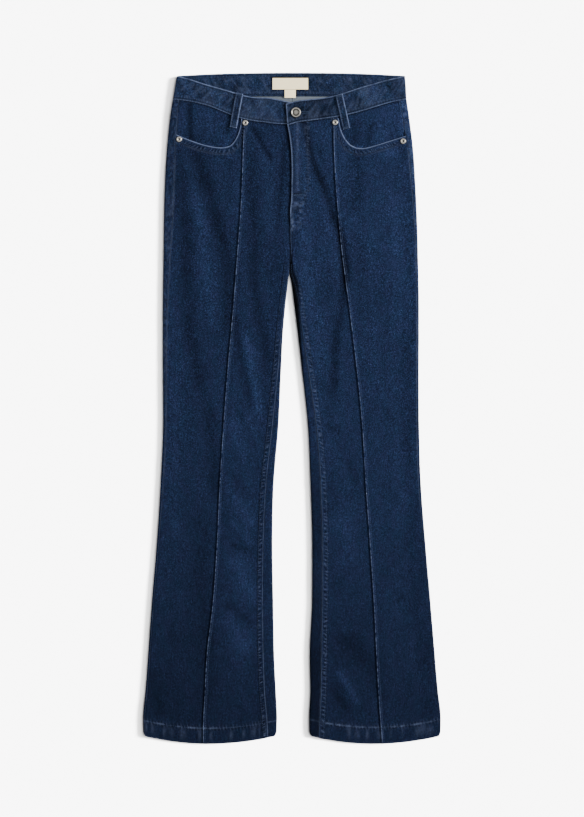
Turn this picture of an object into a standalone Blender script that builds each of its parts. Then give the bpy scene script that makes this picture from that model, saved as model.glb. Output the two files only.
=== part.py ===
"""A pair of bootcut jeans laid flat on its back: waist towards +Y, hems towards -Y, front up.

Lengths are in millimetres and become metres when a mesh is made. Heights run up the garment
from the lowest point of the hems. Right and left are the wearer's, so the right leg is on the
-X side. Every panel is a wall: a grid of outer points, the same grid moved in by the cloth's
thickness, and a rim. A leg is a flattened tube. Its back panel wraps round both folds on to
the front, as far as the outseam and the inseam, and its front panel lies on top between them.
"""

import math

import bmesh
import bpy
import numpy as np

MM = 0.001

# Driving sizes of the garment.
LENGTH = 1139.0
CLOTH = 1.2
HEM_CLOTH = 2.2
HEM_DEPTH = 25.0
BAND_CLOTH = 2.6
SEAM_GAP = 0.3
BAND_GAP = 0.45
CROTCH = 818.0
CROTCH_RISE = 34.0
HIP = 972.0
YOKE_SIDE = 1062.0
YOKE_CENTRE = 1026.0

# The hem dips in the middle of each leg, and its corners are rounded.
HEM_DIP = 13.6
BACK_HEM_TUCKED_UP = 2.2
HEM_DIP_END = 150.0
HEM_CORNER = 3.0
HEM_CORNER_RISE = 9.0

# How far the extra thickness reaches in from a fold, and the flat strip beside the fly.
FOLD_REACH = 34.0
FLY_PLAIN = 12.0
FLY_TOP = 1052.0

# Each leg, from hem to waist: the X of its outer fold, inner fold and front tuck, and how far
# the outseam and the inseam lie in from the folds.
LEG_COLUMNS = ("height", "outer", "inner", "tuck", "wrap_out", "wrap_in")
LEG_RIGHT = (
    (0.0, -252.4, -26.0, -148.3, 3.4, 13.6),
    (30.0, -252.8, -25.0, -148.3, 3.4, 16.4),
    (80.0, -248.8, -26.9, -145.9, 3.4, 18.6),
    (150.0, -244.0, -29.8, -142.2, 3.4, 18.2),
    (240.0, -237.6, -31.5, -131.8, 3.4, 17.7),
    (340.0, -229.3, -33.0, -124.9, 3.6, 15.1),
    (440.0, -222.9, -30.8, -120.3, 4.2, 12.5),
    (540.0, -218.6, -22.7, -113.9, 4.8, 9.6),
    (640.0, -219.1, -17.9, -106.4, 6.2, 4.4),
    (700.0, -219.2, -14.8, -101.1, 7.2, 2.2),
    (760.0, -219.0, -9.1, -95.8, 8.8, 1.0),
    (790.0, -218.6, -5.6, -93.5, 9.9, 0.5),
    (818.0, -218.1, -3.0, -91.4, 11.0, 0.0),
    (860.0, -217.6, -3.0, -88.2, 13.4, 0.0),
    (905.0, -217.0, -3.0, -84.9, 15.4, 0.0),
    (955.0, -215.4, -3.0, -82.4, 15.6, 0.0),
    (1005.0, -212.6, -3.0, -80.8, 14.6, 0.0),
    (1035.0, -210.0, -3.0, -79.6, 13.8, 0.0),
    (1065.0, -206.5, -3.0, -78.8, 12.4, 0.0),
    (1095.0, -201.8, -3.0, -78.6, 10.2, 0.0),
)
LEG_LEFT = (
    (0.0, 252.4, 29.4, 155.5, 3.4, 15.0),
    (30.0, 252.8, 29.0, 153.1, 3.4, 17.0),
    (80.0, 248.2, 31.0, 149.6, 3.4, 17.4),
    (150.0, 242.8, 29.9, 145.8, 3.4, 19.4),
    (240.0, 235.3, 33.9, 141.3, 3.4, 16.8),
    (340.0, 226.6, 34.2, 134.6, 3.4, 17.0),
    (440.0, 219.0, 31.3, 127.6, 3.4, 17.0),
    (540.0, 215.9, 26.9, 121.6, 3.4, 13.5),
    (640.0, 215.4, 16.2, 111.8, 3.4, 9.9),
    (700.0, 215.8, 9.3, 104.6, 3.4, 7.4),
    (760.0, 215.6, 1.9, 97.0, 3.4, 6.4),
    (790.0, 215.0, -1.4, 93.0, 3.4, 3.6),
    (818.0, 214.4, -3.0, 89.1, 3.5, 0.0),
    (860.0, 213.5, -3.0, 84.3, 3.9, 0.0),
    (905.0, 211.9, -3.0, 80.2, 5.0, 0.0),
    (955.0, 209.5, -3.0, 76.2, 7.0, 0.0),
    (1005.0, 206.2, -3.0, 73.8, 9.0, 0.0),
    (1035.0, 203.0, -3.0, 73.1, 10.6, 0.0),
    (1065.0, 198.9, -3.0, 72.8, 11.6, 0.0),
    (1095.0, 194.5, -3.0, 72.7, 11.8, 0.0),
)

# How the layers lie: the underside of the back, the top of the front in the middle of a leg,
# the top of the outer fold, and the tops of the two fronts where they meet at the centre.
LEVEL_COLUMNS = ("height", "under", "middle", "fold", "centre_right", "centre_left")
LEVELS = (
    (0.0, 0.0, 5.0, 6.0, 5.6, 5.6),
    (27.0, 0.0, 5.0, 6.0, 5.6, 5.6),
    (60.0, 0.0, 3.6, 5.7, 5.6, 5.6),
    (150.0, 0.0, 3.3, 5.6, 5.6, 5.6),
    (760.0, 0.0, 3.4, 5.6, 5.6, 5.6),
    (818.0, 0.0, 4.0, 5.6, 5.6, 5.6),
    (850.0, 0.0, 4.4, 5.6, 4.9, 4.9),
    (868.0, 0.0, 4.6, 5.6, 4.7, 4.7),
    (893.0, 0.0, 4.6, 5.6, 4.0, 5.6),
    (905.0, 0.0, 4.6, 5.6, 4.0, 5.6),
    (1012.0, 0.0, 4.6, 5.7, 4.0, 5.8),
    (1030.0, 0.3, 4.9, 5.9, 4.3, 6.9),
    (1050.0, 0.9, 5.5, 6.3, 4.9, 7.4),
    (1072.0, 1.7, 6.0, 6.7, 5.4, 7.6),
    (1099.0, 1.7, 6.2, 6.8, 5.6, 7.6),
)

# The X of the fly's edge, of the back seam, and how far the right front runs under the left.
CENTRE_COLUMNS = ("height", "fly", "back_seam", "lap")
CENTRE = (
    (818.0, -3.0, -3.0, -0.15),
    (838.0, -2.3, -2.9, -0.15),
    (868.0, -3.2, -2.6, -0.15),
    (893.0, -3.2, -2.4, -0.15),
    (905.0, -3.0, -2.2, 2.2),
    (923.0, -0.8, -2.0, 2.2),
    (948.0, 0.4, -1.7, 2.2),
    (974.0, 1.3, -1.4, 2.2),
    (1008.0, 0.1, -1.0, 2.2),
    (1034.0, -3.0, -0.6, 2.2),
    (1050.0, -5.9, -0.4, 2.2),
    (1099.0, -8.4, 0.0, 2.2),
)

# The front tuck, pressed towards -X: how far each column lies from the tuck's line and how
# far it stands above the panel. It dies out under the rivet.
TUCK = (
    (-2.7, 0.0),
    (-2.3, 1.5),
    (-0.6, 1.3),
    (2.8, 0.0),
)
TUCK_TOP_PLAIN = 8.0
TUCK_TOP_FADE = 16.0

# Creases die out in a margin beside the folds, and over a share of their own length.
CREASE_MARGIN = 20.0
CREASE_END = 0.3

# The largest creases: the X and height of each end, its half width, and how far it stands
# out of the panel, or sinks into it.
CREASES_RIGHT = (
    (-72.0, 1046.0, -36.0, 992.0, 10.0, -0.7),
    (-196.0, 930.0, -150.0, 860.0, 14.0, 0.8),
    (-96.0, 566.0, -62.0, 464.0, 15.0, 0.9),
    (-116.0, 414.0, -70.0, 330.0, 14.0, 1.0),
    (-128.0, 210.0, -80.0, 176.0, 12.0, 0.8),
)
CREASES_LEFT = (
    (28.0, 1040.0, 74.0, 906.0, 14.0, -0.8),
    (8.0, 920.0, 14.0, 702.0, 12.0, 0.9),
    (130.0, 620.0, 176.0, 540.0, 16.0, 0.9),
    (60.0, 470.0, 104.0, 380.0, 15.0, 0.9),
    (74.0, 124.0, 108.0, 74.0, 12.0, 0.8),
)

# Pocket scoops, X and height along the edge, from the outseam to the waistband.
SCOOP_START_RIGHT = 1034.0
SCOOP_RIGHT = (
    (-177.6, 1026.0),
    (-147.3, 1015.4),
    (-120.0, 1011.0),
    (-104.0, 1014.0),
    (-94.1, 1027.0),
    (-88.4, 1042.0),
)
SCOOP_END_RIGHT = -85.4
SCOOP_START_LEFT = 1031.6
SCOOP_LEFT = (
    (172.5, 1025.3),
    (142.0, 1015.6),
    (119.3, 1009.4),
    (101.1, 1013.6),
    (90.0, 1026.0),
    (82.9, 1041.0),
)
SCOOP_END_LEFT = 78.4
FACING_REACH = 14.0
FACING_DROP = 1.8
FACING_EASE = 10.0
FACING_MARGIN = 2.5
SCOOP_SAMPLES = 60

# Waistband, outer face: X and height of its top and bottom edges, and its level. The front
# tables run from the fly round to the side, and the back's from the left to the right.
BACK_BAND_LEVEL = 1.7
BACK_BAND_CORNER = 1093.4
BAND_COLUMNS = ("top_x", "top_height", "bottom_x", "bottom_height", "level")
BAND_RIGHT = (
    (25.0, 1086.4, 25.0, 1058.0, 5.8),
    (8.1, 1085.0, 8.1, 1054.6, 5.8),
    (-8.9, 1087.6, -12.3, 1051.4, 5.8),
    (-24.0, 1091.8, -28.0, 1052.2, 6.0),
    (-40.0, 1095.0, -45.0, 1054.2, 6.6),
    (-59.9, 1097.0, -66.7, 1056.9, 7.2),
    (-83.7, 1100.8, -93.9, 1063.3, 7.2),
    (-107.5, 1108.2, -119.4, 1073.4, 7.2),
    (-129.6, 1114.4, -139.8, 1081.6, 7.2),
    (-150.9, 1120.6, -160.2, 1087.1, 7.2),
    (-172.1, 1127.6, -179.6, 1090.8, 7.2),
    (-192.4, 1132.8, -199.3, 1093.0, 7.2),
)
BAND_LEFT = (
    (-8.4, 1085.5, -5.9, 1049.2, 8.7),
    (-2.0, 1087.4, 1.6, 1052.0, 8.7),
    (10.6, 1089.2, 12.3, 1054.8, 8.7),
    (28.5, 1092.2, 30.2, 1057.1, 8.7),
    (48.9, 1095.6, 55.7, 1060.6, 8.1),
    (71.0, 1099.6, 80.3, 1064.6, 7.4),
    (93.1, 1106.2, 101.6, 1069.0, 7.2),
    (113.5, 1113.0, 123.7, 1075.0, 7.2),
    (135.6, 1119.4, 144.9, 1081.6, 7.2),
    (159.4, 1126.2, 167.0, 1088.0, 7.2),
    (189.5, 1132.8, 191.9, 1093.0, 7.2),
)
BAND_BACK = (
    (189.5, 1133.9, 191.9, BACK_BAND_CORNER, BACK_BAND_LEVEL),
    (130.0, 1137.0, 130.0, 1096.8, BACK_BAND_LEVEL),
    (65.0, 1138.6, 65.0, 1098.7, BACK_BAND_LEVEL),
    (0.0, 1139.0, 0.0, 1099.0, BACK_BAND_LEVEL),
    (-65.0, 1138.6, -65.0, 1098.7, BACK_BAND_LEVEL),
    (-130.0, 1137.0, -130.0, 1096.8, BACK_BAND_LEVEL),
    (-192.4, 1133.9, -199.3, BACK_BAND_CORNER, BACK_BAND_LEVEL),
)
BAND_EDGE = 0.7
BAND_FOLD_STEPS = 5

# Button, and its buttonhole in the over end: a round eye for the shank, and a slit.
BUTTON_X = 6.7
BUTTON_HEIGHT = 1071.0
BUTTON_SHANK = 2.2
EYE_RADIUS = 3.2
EYE_STEPS = 20
SLIT_LENGTH = 20.5
SLIT_WIDTH = 0.9
HOLE_BOTTOM = 5.95
HOLE_TOP = 9.4
BUTTON_PROFILE = (
    (0.0, 10.8),
    (3.4, 10.8),
    (5.7, 10.5),
    (6.5, 11.1),
    (7.6, 11.2),
    (8.5, 10.5),
    (8.5, 9.7),
    (7.8, 9.1),
    (BUTTON_SHANK, 9.0),
    (BUTTON_SHANK, 6.1),
    (0.0, 6.1),
)
BUTTON_STEPS = 24

# Rivet caps: places, and a turned profile above the cloth.
RIVETS = {
    "rivet_waist_right": (-79.2, 1053.6),
    "rivet_waist_left": (73.2, 1054.2),
    "rivet_side_right": (-191.4, 1025.8),
    "rivet_side_left": (188.6, 1022.6),
}
RIVET_RADIUS = 4.9
RIVET_PROFILE = (
    (0.0, 1.5),
    (1.6, 1.4),
    (2.1, 0.9),
    (2.9, 1.1),
    (4.2, 0.9),
    (RIVET_RADIUS, 0.3),
    (RIVET_RADIUS, 0.0),
    (0.0, 0.0),
)
RIVET_STEPS = 16
RIVET_CLEAR = 0.2
RIVET_SEAT_POINTS = 8

# Belt loops: X and height of the middle of the top and bottom ends. A front loop springs up
# over the band, clears its edge, steps down and lies on the facing.
LOOP_WIDTH = 12.6
LOOP_CLOTH = 1.5
LOOP_SPRING = 0.9
LOOP_SPRING_EASE = 0.4
LOOP_ARCH = (0.0, 0.12, 0.5, 0.88)
LOOP_PAST_BAND = 1.0
LOOP_STEP = 2.6
FRONT_LOOPS = {
    "belt_loop_front_right": (-88.8, 1103.4, -99.8, 1045.5),
    "belt_loop_front_left": (79.9, 1100.8, 92.7, 1043.5),
}
BACK_LOOPS = {
    "belt_loop_back_right": (-136.0, 1136.6, -138.0, 1081.0),
    "belt_loop_back_centre": (0.0, 1138.8, 0.0, 1083.0),
    "belt_loop_back_left": (136.0, 1136.6, 138.0, 1081.0),
}
BACK_LOOP_CLOTH = 1.4
BACK_LOOP_BEVEL = 0.35

# Zip: a tape with its closed chain, and the slider at the top of the chain.
ZIP_ROWS = (902.0, 930.0, 960.0, 990.0, 1010.0, 1024.0, 1026.0, 1047.0)
ZIP_CHAIN_TOP = 1024.0
ZIP_CHAIN_X = 7.4
ZIP_CHAIN_SIDE = 2.7
ZIP_CHAIN_SLOPE = 0.2
ZIP_TAPE_SIDE = 12.0
ZIP_TAPE_LEVEL = 1.5
ZIP_TAPE_CLOTH = 1.0
ZIP_CHAIN_RISE = 1.3
SLIDER_WIDTH = 7.0
SLIDER_LENGTH = 11.0
SLIDER_RISE = 1.9
SLIDER_HEIGHT = 1036.0
SLIDER_BEVEL = 0.4

# Blank woven labels on the inner face of the back band: X range and height range.
LABEL_CLOTH = 1.0
LABEL_BEVEL = 0.25
LABELS = {
    "label_main": (-33.0, 27.4, 1110.4, 1129.8),
    "label_size": (-12.4, 6.4, 1096.2, 1110.0),
}

# Heights of the rows of points up each leg, and from the crotch up to the hip.
LEG_ROWS = (
    0.0, 3.0, 9.0, 23.5, 27.0, 48.0, 80.0, 120.0, 165.0, 215.0, 265.0, 315.0, 365.0, 412.0,
    458.0, 505.0, 552.0, 598.0, 640.0, 682.0, 722.0, 758.0, 784.0, 803.0, CROTCH,
)
HIP_ROWS = (827.0, 838.0, 852.0, 868.0, 893.0, 905.0, 926.0, 949.0, HIP)
FRONT_TOP_ROWS = 6
BACK_TOP_ROWS = 3
FACING_ROWS = 6
FACING_COLUMNS = 11
YOKE_ROWS = 4
SEAM_TURNS = (0.0, 45.0, 90.0)
STRIP_COLUMNS = 4
BACK_FLAT_COLUMNS = 5
WRAP_COLUMNS = 5

# The least distance round a fold that is still over the front, the angle above which an edge
# is drawn sharp, and the distance under which a turned piece's points are one.
ON_FRONT = 0.000001
SHARP_ANGLE = 50.0
MERGE = 0.01

DENIM = (0.022, 0.038, 0.075)
DENIM_BAND = (0.030, 0.050, 0.095)
TAPE = (0.05, 0.055, 0.07)
LABEL = (0.76, 0.73, 0.60)
METAL = (0.42, 0.40, 0.36)


class Leg:
    """One side of the garment: its tables, and the side that its outer fold lies on."""

    def __init__(self, name, side, table, creases, band, scoop):
        self.name = name
        self.side = side
        self.table = table
        self.creases = creases
        self.band = band
        self.scoop_start, self.scoop, self.scoop_end = scoop

    def read(self, column, height):
        return smooth(self.table, LEG_COLUMNS.index(column), height)


def smooth(table, column, height):
    """Reads a column at a height, on a curve through the rows that never overshoots them."""
    rows = np.array(table)
    at = rows[:, 0]
    values = rows[:, column]
    slopes = np.gradient(values, at)
    height = min(max(height, at[0]), at[-1])
    i = min(max(int(np.searchsorted(at, height)) - 1, 0), len(at) - 2)
    step = at[i + 1] - at[i]
    rise = values[i + 1] - values[i]
    start = limited(slopes[i] * step, rise)
    end = limited(slopes[i + 1] * step, rise)
    t = (height - at[i]) / step
    curve = (2 * t**3 - 3 * t**2 + 1) * values[i] + (t**3 - 2 * t**2 + t) * start
    return curve + (3 * t**2 - 2 * t**3) * values[i + 1] + (t**3 - t**2) * end


def limited(slope, rise):
    if slope * rise <= 0.0:
        return 0.0
    return math.copysign(min(abs(slope), 3.0 * abs(rise)), rise)


def ease(t):
    """Rises smoothly from 0 to 1."""
    t = min(max(t, 0.0), 1.0)
    return t * t * (3.0 - 2.0 * t)


def level(column, height):
    return smooth(LEVELS, LEVEL_COLUMNS.index(column), height)


def centre(column, height):
    return smooth(CENTRE, CENTRE_COLUMNS.index(column), height)


def fold_radius(height):
    return (level("fold", height) - level("under", height)) / 2.0


def centre_edge(leg, height):
    """X of a front's centre edge above the crotch."""
    if leg.side < 0:
        return centre("fly", height) + centre("lap", height)
    return centre("fly", height) + SEAM_GAP / 2.0


def inner_fold(leg, height):
    """X of the inner fold, or above the crotch of the front's centre edge."""
    if height > CROTCH:
        return centre_edge(leg, height)
    return leg.read("inner", height) + leg.side * SEAM_GAP / 2.0


def crotch_fold(height):
    """1 where the leg has its inner fold, falling to 0 a little above the crotch."""
    return 1.0 - ease((height - CROTCH) / CROTCH_RISE)


def outseam_x(leg, height):
    return leg.read("outer", height) - leg.side * leg.read("wrap_out", height)


def crease_rise(leg, x, height):
    """Height of the creases over a point: soft ridges that die out at their ends."""
    total = 0.0
    for x0, height0, x1, height1, half_width, rise in leg.creases:
        dx = x1 - x0
        dh = height1 - height0
        length = math.hypot(dx, dh)
        along = ((x - x0) * dx + (height - height0) * dh) / length**2
        across = ((x - x0) * dh - (height - height0) * dx) / length
        fade = ease(min(along, 1.0 - along) / CREASE_END)
        total += rise * fade * math.exp(-((across / half_width) ** 2))
    return total


def front_top(leg, x, height):
    """Level of the front's outer face over a point, without the tuck."""
    radius = fold_radius(height)
    from_outer = abs(x - leg.read("outer", height)) - radius
    from_inner = abs(x - inner_fold(leg, height)) - radius
    middle = level("middle", height)
    fold = level("fold", height)
    inner_level = fold
    plain = 0.0
    if height > CROTCH:
        inner_level = level("centre_right" if leg.side < 0 else "centre_left", height)
        plain = FLY_PLAIN * (1.0 - crotch_fold(height))
    top = middle + (fold - middle) * (1.0 - ease(from_outer / FOLD_REACH))
    top += (inner_level - middle) * (1.0 - ease((from_inner - plain) / FOLD_REACH))
    inside = ease(min(from_outer, from_inner) / CREASE_MARGIN)
    return top + inside * crease_rise(leg, x, height)


def ring(leg, height, across, from_inner):
    """Outer point and outward direction on a leg's tube at one height.

    across is the distance from a fold's apex, round the fold: positive over the front and
    negative under the back. Above the crotch the inner fold opens out flat.
    """
    radius = fold_radius(height)
    over = across > 0.0
    start = leg.read("outer", height)
    inward = -leg.side
    fold = 1.0
    if from_inner:
        start = inner_fold(leg, height)
        inward = leg.side
        fold = crotch_fold(height)
        if height > CROTCH and not over:
            start = centre("back_seam", height) + leg.side * SEAM_GAP / 2.0
    turn = min(abs(across) / radius, math.pi / 2.0)
    past = max(abs(across) - math.pi * radius / 2.0, 0.0)
    x = start + inward * (radius * (1.0 - math.cos(turn)) + past)
    middle = level("under", height) + radius
    flat = front_top(leg, x, height) if over else level("under", height)
    way = 1.0 if over else -1.0
    z = flat
    if past == 0.0:
        z = fold * (middle + way * radius * math.sin(turn)) + (1.0 - fold) * flat
    lean = -inward * math.cos(turn) * fold
    rise = way * (math.sin(turn) * fold + 1.0 - fold)
    size = math.hypot(lean, rise)
    return (x, height, z), (lean / size, rise / size)


def round_from_fold(distance, radius):
    """Distance round the fold of a point so far in, across the leg, from the fold's apex."""
    if distance >= radius:
        return math.pi * radius / 2.0 + distance - radius
    return radius * math.acos(1.0 - max(distance, 0.0) / radius)


def shaped_for_hem(leg, point, tucked_up):
    """Gives a point the dip of the hem and its rounded corners."""
    x, height, z = point
    outer = leg.read("outer", height)
    inner = leg.read("inner", height)
    if height < HEM_CORNER_RISE:
        inset = HEM_CORNER * (1.0 - height / HEM_CORNER_RISE) ** 2
        half = abs(outer - inner) / 2.0
        middle = (outer + inner) / 2.0
        x = middle + (x - middle) * (half - inset) / half
    across = (x - outer) / (inner - outer)
    fade = 1.0 - ease((height - HEM_DEPTH) / (HEM_DIP_END - HEM_DEPTH))
    lift = tucked_up + (HEM_DIP - tucked_up) * (1.0 - 4.0 * across * (1.0 - across))
    return (x, height + lift * fade, z)


def cloth_at(height):
    return HEM_CLOTH if height < HEM_DEPTH else CLOTH


def moved(point, direction, distance):
    """A point moved out along a direction across the leg, or in if the distance is negative."""
    x, height, z = point
    return (x + direction[0] * distance, height, z + direction[1] * distance)


def resample(points, count):
    """Evenly spaced points along a polyline."""
    line = np.array(points)
    steps = np.hypot(*np.diff(line, axis=0).T)
    along = np.concatenate(([0.0], np.cumsum(steps)))
    at = np.linspace(0.0, along[-1], count)
    return list(zip(np.interp(at, along, line[:, 0]), np.interp(at, along, line[:, 1])))


def rounded(points, passes=2):
    """Cuts the corners of a polyline, keeping its ends."""
    for _ in range(passes):
        cut = [points[0]]
        for (x0, y0), (x1, y1) in zip(points, points[1:]):
            cut.append((0.75 * x0 + 0.25 * x1, 0.75 * y0 + 0.25 * y1))
            cut.append((0.25 * x0 + 0.75 * x1, 0.25 * y0 + 0.75 * y1))
        cut.append(points[-1])
        points = cut
    return points


def band_column(table, column):
    """A column of a band's table, in the order of its bottom edge's X."""
    rows = sorted(table, key=lambda row: row[BAND_COLUMNS.index("bottom_x")])
    return np.array([row[BAND_COLUMNS.index(column)] for row in rows])


def band_bottom(table, x):
    """Height of a panel's top edge under the band, over X."""
    heights = band_column(table, "bottom_height")
    return float(np.interp(x, band_column(table, "bottom_x"), heights)) - BAND_GAP


def band_level(table, x):
    middles = (band_column(table, "top_x") + band_column(table, "bottom_x")) / 2.0
    return float(np.interp(x, middles, band_column(table, "level")))


def below_band(table, xs):
    """Heights of an edge under the band, low enough that its straight runs clear the band."""
    heights = [band_bottom(table, x) for x in xs]
    corners = list(zip(band_column(table, "bottom_x"), band_column(table, "bottom_height")))
    for i in range(len(xs) - 1):
        low, high = sorted((xs[i], xs[i + 1]))
        for corner_x, corner_height in corners:
            if low < corner_x < high:
                share = (corner_x - xs[i]) / (xs[i + 1] - xs[i])
                run = heights[i] + (heights[i + 1] - heights[i]) * share
                excess = max(run - corner_height + BAND_GAP, 0.0)
                heights[i] -= excess
                heights[i + 1] -= excess
    return heights


def scoop_line(leg):
    """The pocket's edge, from the outseam to the waistband."""
    start = leg.scoop_start
    first = (outseam_x(leg, start) - leg.side * SEAM_GAP / 2.0, start)
    last = (leg.scoop_end, band_bottom(leg.band, leg.scoop_end))
    return rounded([first, *leg.scoop, last])


def facing_drop(leg, x, height):
    """How far the facing lies below the front's level: all the way under the front."""
    line = np.array(resample(scoop_line(leg), SCOOP_SAMPLES))
    gaps = np.hypot(line[:, 0] - x, line[:, 1] - height)
    i = int(np.argmin(gaps))
    along = line[min(i + 1, SCOOP_SAMPLES - 1)] - line[max(i - 1, 0)]
    side = along[0] * (height - line[i, 1]) - along[1] * (x - line[i, 0])
    outside = gaps[i] if side * -leg.side > 0.0 else 0.0
    return FACING_DROP * (1.0 - ease((outside - FACING_MARGIN) / FACING_EASE))


def facing_top(leg, x, height):
    return front_top(leg, x, height) - facing_drop(leg, x, height)


def to_metres(point):
    x, height, z = point
    return (x * MM, (height - LENGTH / 2.0) * MM, z * MM)


def finish_mesh(name, points, faces, material, collection):
    """Makes one smooth-shaded object from points in millimetres, with its faces outward."""
    shell = bmesh.new()
    verts = [shell.verts.new(to_metres(point)) for point in points]
    for face in faces:
        shell.faces.new([verts[i] for i in face])
    bmesh.ops.recalc_face_normals(shell, faces=shell.faces[:])
    mesh = bpy.data.meshes.new(name)
    shell.to_mesh(mesh)
    shell.free()
    mesh.shade_smooth()
    mesh.set_sharp_from_angle(angle=math.radians(SHARP_ANGLE))
    mesh.materials.append(material)
    obj = bpy.data.objects.new(name, mesh)
    collection.objects.link(obj)
    return obj


def make_wall(name, rows, material, collection):
    """A closed wall from rows of (outer point, inner point) pairs."""
    count = len(rows)
    width = len(rows[0])
    points = [pair[0] for row in rows for pair in row]
    points += [pair[1] for row in rows for pair in row]
    below = count * width
    faces = []
    for r in range(count - 1):
        for c in range(width - 1):
            a = r * width + c
            quad = (a, a + 1, a + width + 1, a + width)
            faces.append(quad)
            faces.append(tuple(below + i for i in reversed(quad)))
    edge = list(range(width))
    edge += [r * width + width - 1 for r in range(1, count)]
    edge += [(count - 1) * width + c for c in range(width - 2, -1, -1)]
    edge += [r * width for r in range(count - 2, 0, -1)]
    for a, b in zip(edge, edge[1:] + edge[:1]):
        faces.append((b, a, below + a, below + b))
    return finish_mesh(name, points, faces, material, collection)


def front_places(leg, height):
    """Places across a front: distance round from a fold, which fold, and the tuck's rise."""
    radius = fold_radius(height)
    quarter = math.pi * radius / 2.0
    turns = [radius * math.radians(turn) for turn in SEAM_TURNS]
    outer_seam = round_from_fold(leg.read("wrap_out", height), radius) + SEAM_GAP / 2.0
    inner_seam = ON_FRONT
    if height <= CROTCH:
        inner_seam = round_from_fold(leg.read("wrap_in", height), radius) + SEAM_GAP / 2.0
    tuck = leg.read("tuck", height)
    outer = leg.read("outer", height)
    inner = inner_fold(leg, height)
    columns = TUCK if leg.side < 0 else TUCK[::-1]
    tucks = [quarter + abs(tuck + offset - outer) - radius for offset, _ in columns]
    inner_start = quarter + abs(inner - tuck - columns[-1][0]) - radius
    places = [(outer_seam + turn, False, 0.0) for turn in turns]
    for k in range(1, STRIP_COLUMNS):
        share = k / STRIP_COLUMNS
        at = places[2][0] + (tucks[0] - places[2][0]) * share
        places.append((at, False, 0.0))
    for at, (_, rise) in zip(tucks, columns):
        places.append((at, False, rise))
    last = inner_seam + turns[-1]
    for k in range(1, STRIP_COLUMNS):
        places.append((inner_start + (last - inner_start) * k / STRIP_COLUMNS, True, 0.0))
    for turn in reversed(turns):
        places.append((inner_seam + turn, True, 0.0))
    return places


def front_row(leg, height):
    """A level row of a front, below the hip."""
    row = []
    for across, from_inner, rise in front_places(leg, height):
        point, direction = ring(leg, height, across, from_inner)
        inner = moved(point, direction, -cloth_at(height))
        x, lifted, z = shaped_for_hem(leg, point, 0.0)
        shift = x - point[0]
        row.append(((x, lifted, z + rise), (inner[0] + shift, lifted, inner[2])))
    return row


def front_top_edge(leg, hip_row):
    """Top edge of a front: along the scoop, then under the waistband to the centre."""
    outer_count = len(SEAM_TURNS) + STRIP_COLUMNS - 1
    edge = resample(scoop_line(leg), outer_count)
    columns = TUCK if leg.side < 0 else TUCK[::-1]
    tuck_x = leg.read("tuck", YOKE_SIDE)
    xs = [tuck_x + offset for offset, _ in columns]
    end = centre_edge(leg, FLY_TOP)
    hip_xs = [outer[0] for outer, _ in hip_row[-len(SEAM_TURNS):]]
    ends = [end + x - hip_xs[-1] for x in hip_xs]
    start = xs[-1]
    for k in range(1, STRIP_COLUMNS):
        xs.append(start + (ends[0] - start) * k / STRIP_COLUMNS)
    xs += ends
    edge += zip(xs, below_band(leg.band, xs))
    return edge


def front_rows(leg):
    """All rows of a front, from the hem to the scoop and the waistband."""
    rows = [front_row(leg, height) for height in LEG_ROWS + HIP_ROWS]
    hip_row = rows[-1]
    hip = [(outer[0], HIP) for outer, _ in hip_row]
    rises = [rise for _, _, rise in front_places(leg, HIP)]
    edge = front_top_edge(leg, hip_row)
    tuck_top = edge[len(SEAM_TURNS) + STRIP_COLUMNS][1]
    for r in range(1, FRONT_TOP_ROWS + 1):
        share = r / FRONT_TOP_ROWS
        line = [
            (x0 + (x1 - x0) * share, h0 + (h1 - h0) * share)
            for (x0, h0), (x1, h1) in zip(hip, edge)
        ]
        seam_shift = outseam_x(leg, line[0][1]) - leg.side * SEAM_GAP / 2.0 - line[0][0]
        centre_shift = centre_edge(leg, line[-1][1]) - line[-1][0]
        row = []
        for c, (x, height) in enumerate(line):
            across = 2.0 * c / (len(line) - 1) - 1.0
            x += (seam_shift if across < 0.0 else centre_shift) * across**2
            z = front_top(leg, x, height)
            rise = rises[c] * ease((tuck_top - height - TUCK_TOP_PLAIN) / TUCK_TOP_FADE)
            row.append(((x, height, z + rise), (x, height, z - CLOTH)))
        rows.append(row)
    return rows


def turn_places(end, quarter):
    """Places from the flat underside round a fold to a seam, never crowding together."""
    even = [-quarter + (end + quarter) * k / WRAP_COLUMNS for k in range(WRAP_COLUMNS + 1)]
    best = [-quarter, -quarter / 2.0, 0.0, quarter / 2.0, quarter, end]
    return [min(pair) for pair in zip(even, best)]


def back_places(leg, height):
    """Places across a back: from the outseam, round under the leg, to its inner seam."""
    radius = fold_radius(height)
    quarter = math.pi * radius / 2.0
    outer_end = round_from_fold(leg.read("wrap_out", height), radius) - SEAM_GAP / 2.0
    inner_end = 0.0
    inner = centre("back_seam", height) + leg.side * SEAM_GAP / 2.0
    if height <= CROTCH:
        inner_end = round_from_fold(leg.read("wrap_in", height), radius) - SEAM_GAP / 2.0
        inner = inner_fold(leg, height)
    span = abs(inner - leg.read("outer", height)) - 2.0 * radius
    places = [(at, False) for at in reversed(turn_places(outer_end, quarter))]
    for k in range(1, BACK_FLAT_COLUMNS):
        places.append((-quarter - span * k / BACK_FLAT_COLUMNS, False))
    places += [(at, True) for at in turn_places(inner_end, quarter)]
    return places


def back_row(leg, heights, tucked_up=BACK_HEM_TUCKED_UP):
    """A row of a back or yoke, with the height of each of its columns."""
    row = []
    for c, height in enumerate(heights):
        across, from_inner = back_places(leg, height)[c]
        point, direction = ring(leg, height, across, from_inner)
        inner = moved(point, direction, -cloth_at(height))
        x, lifted, z = shaped_for_hem(leg, point, tucked_up)
        shift = x - point[0]
        row.append(((x, lifted, z), (inner[0] + shift, lifted, inner[2])))
    return row


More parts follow.
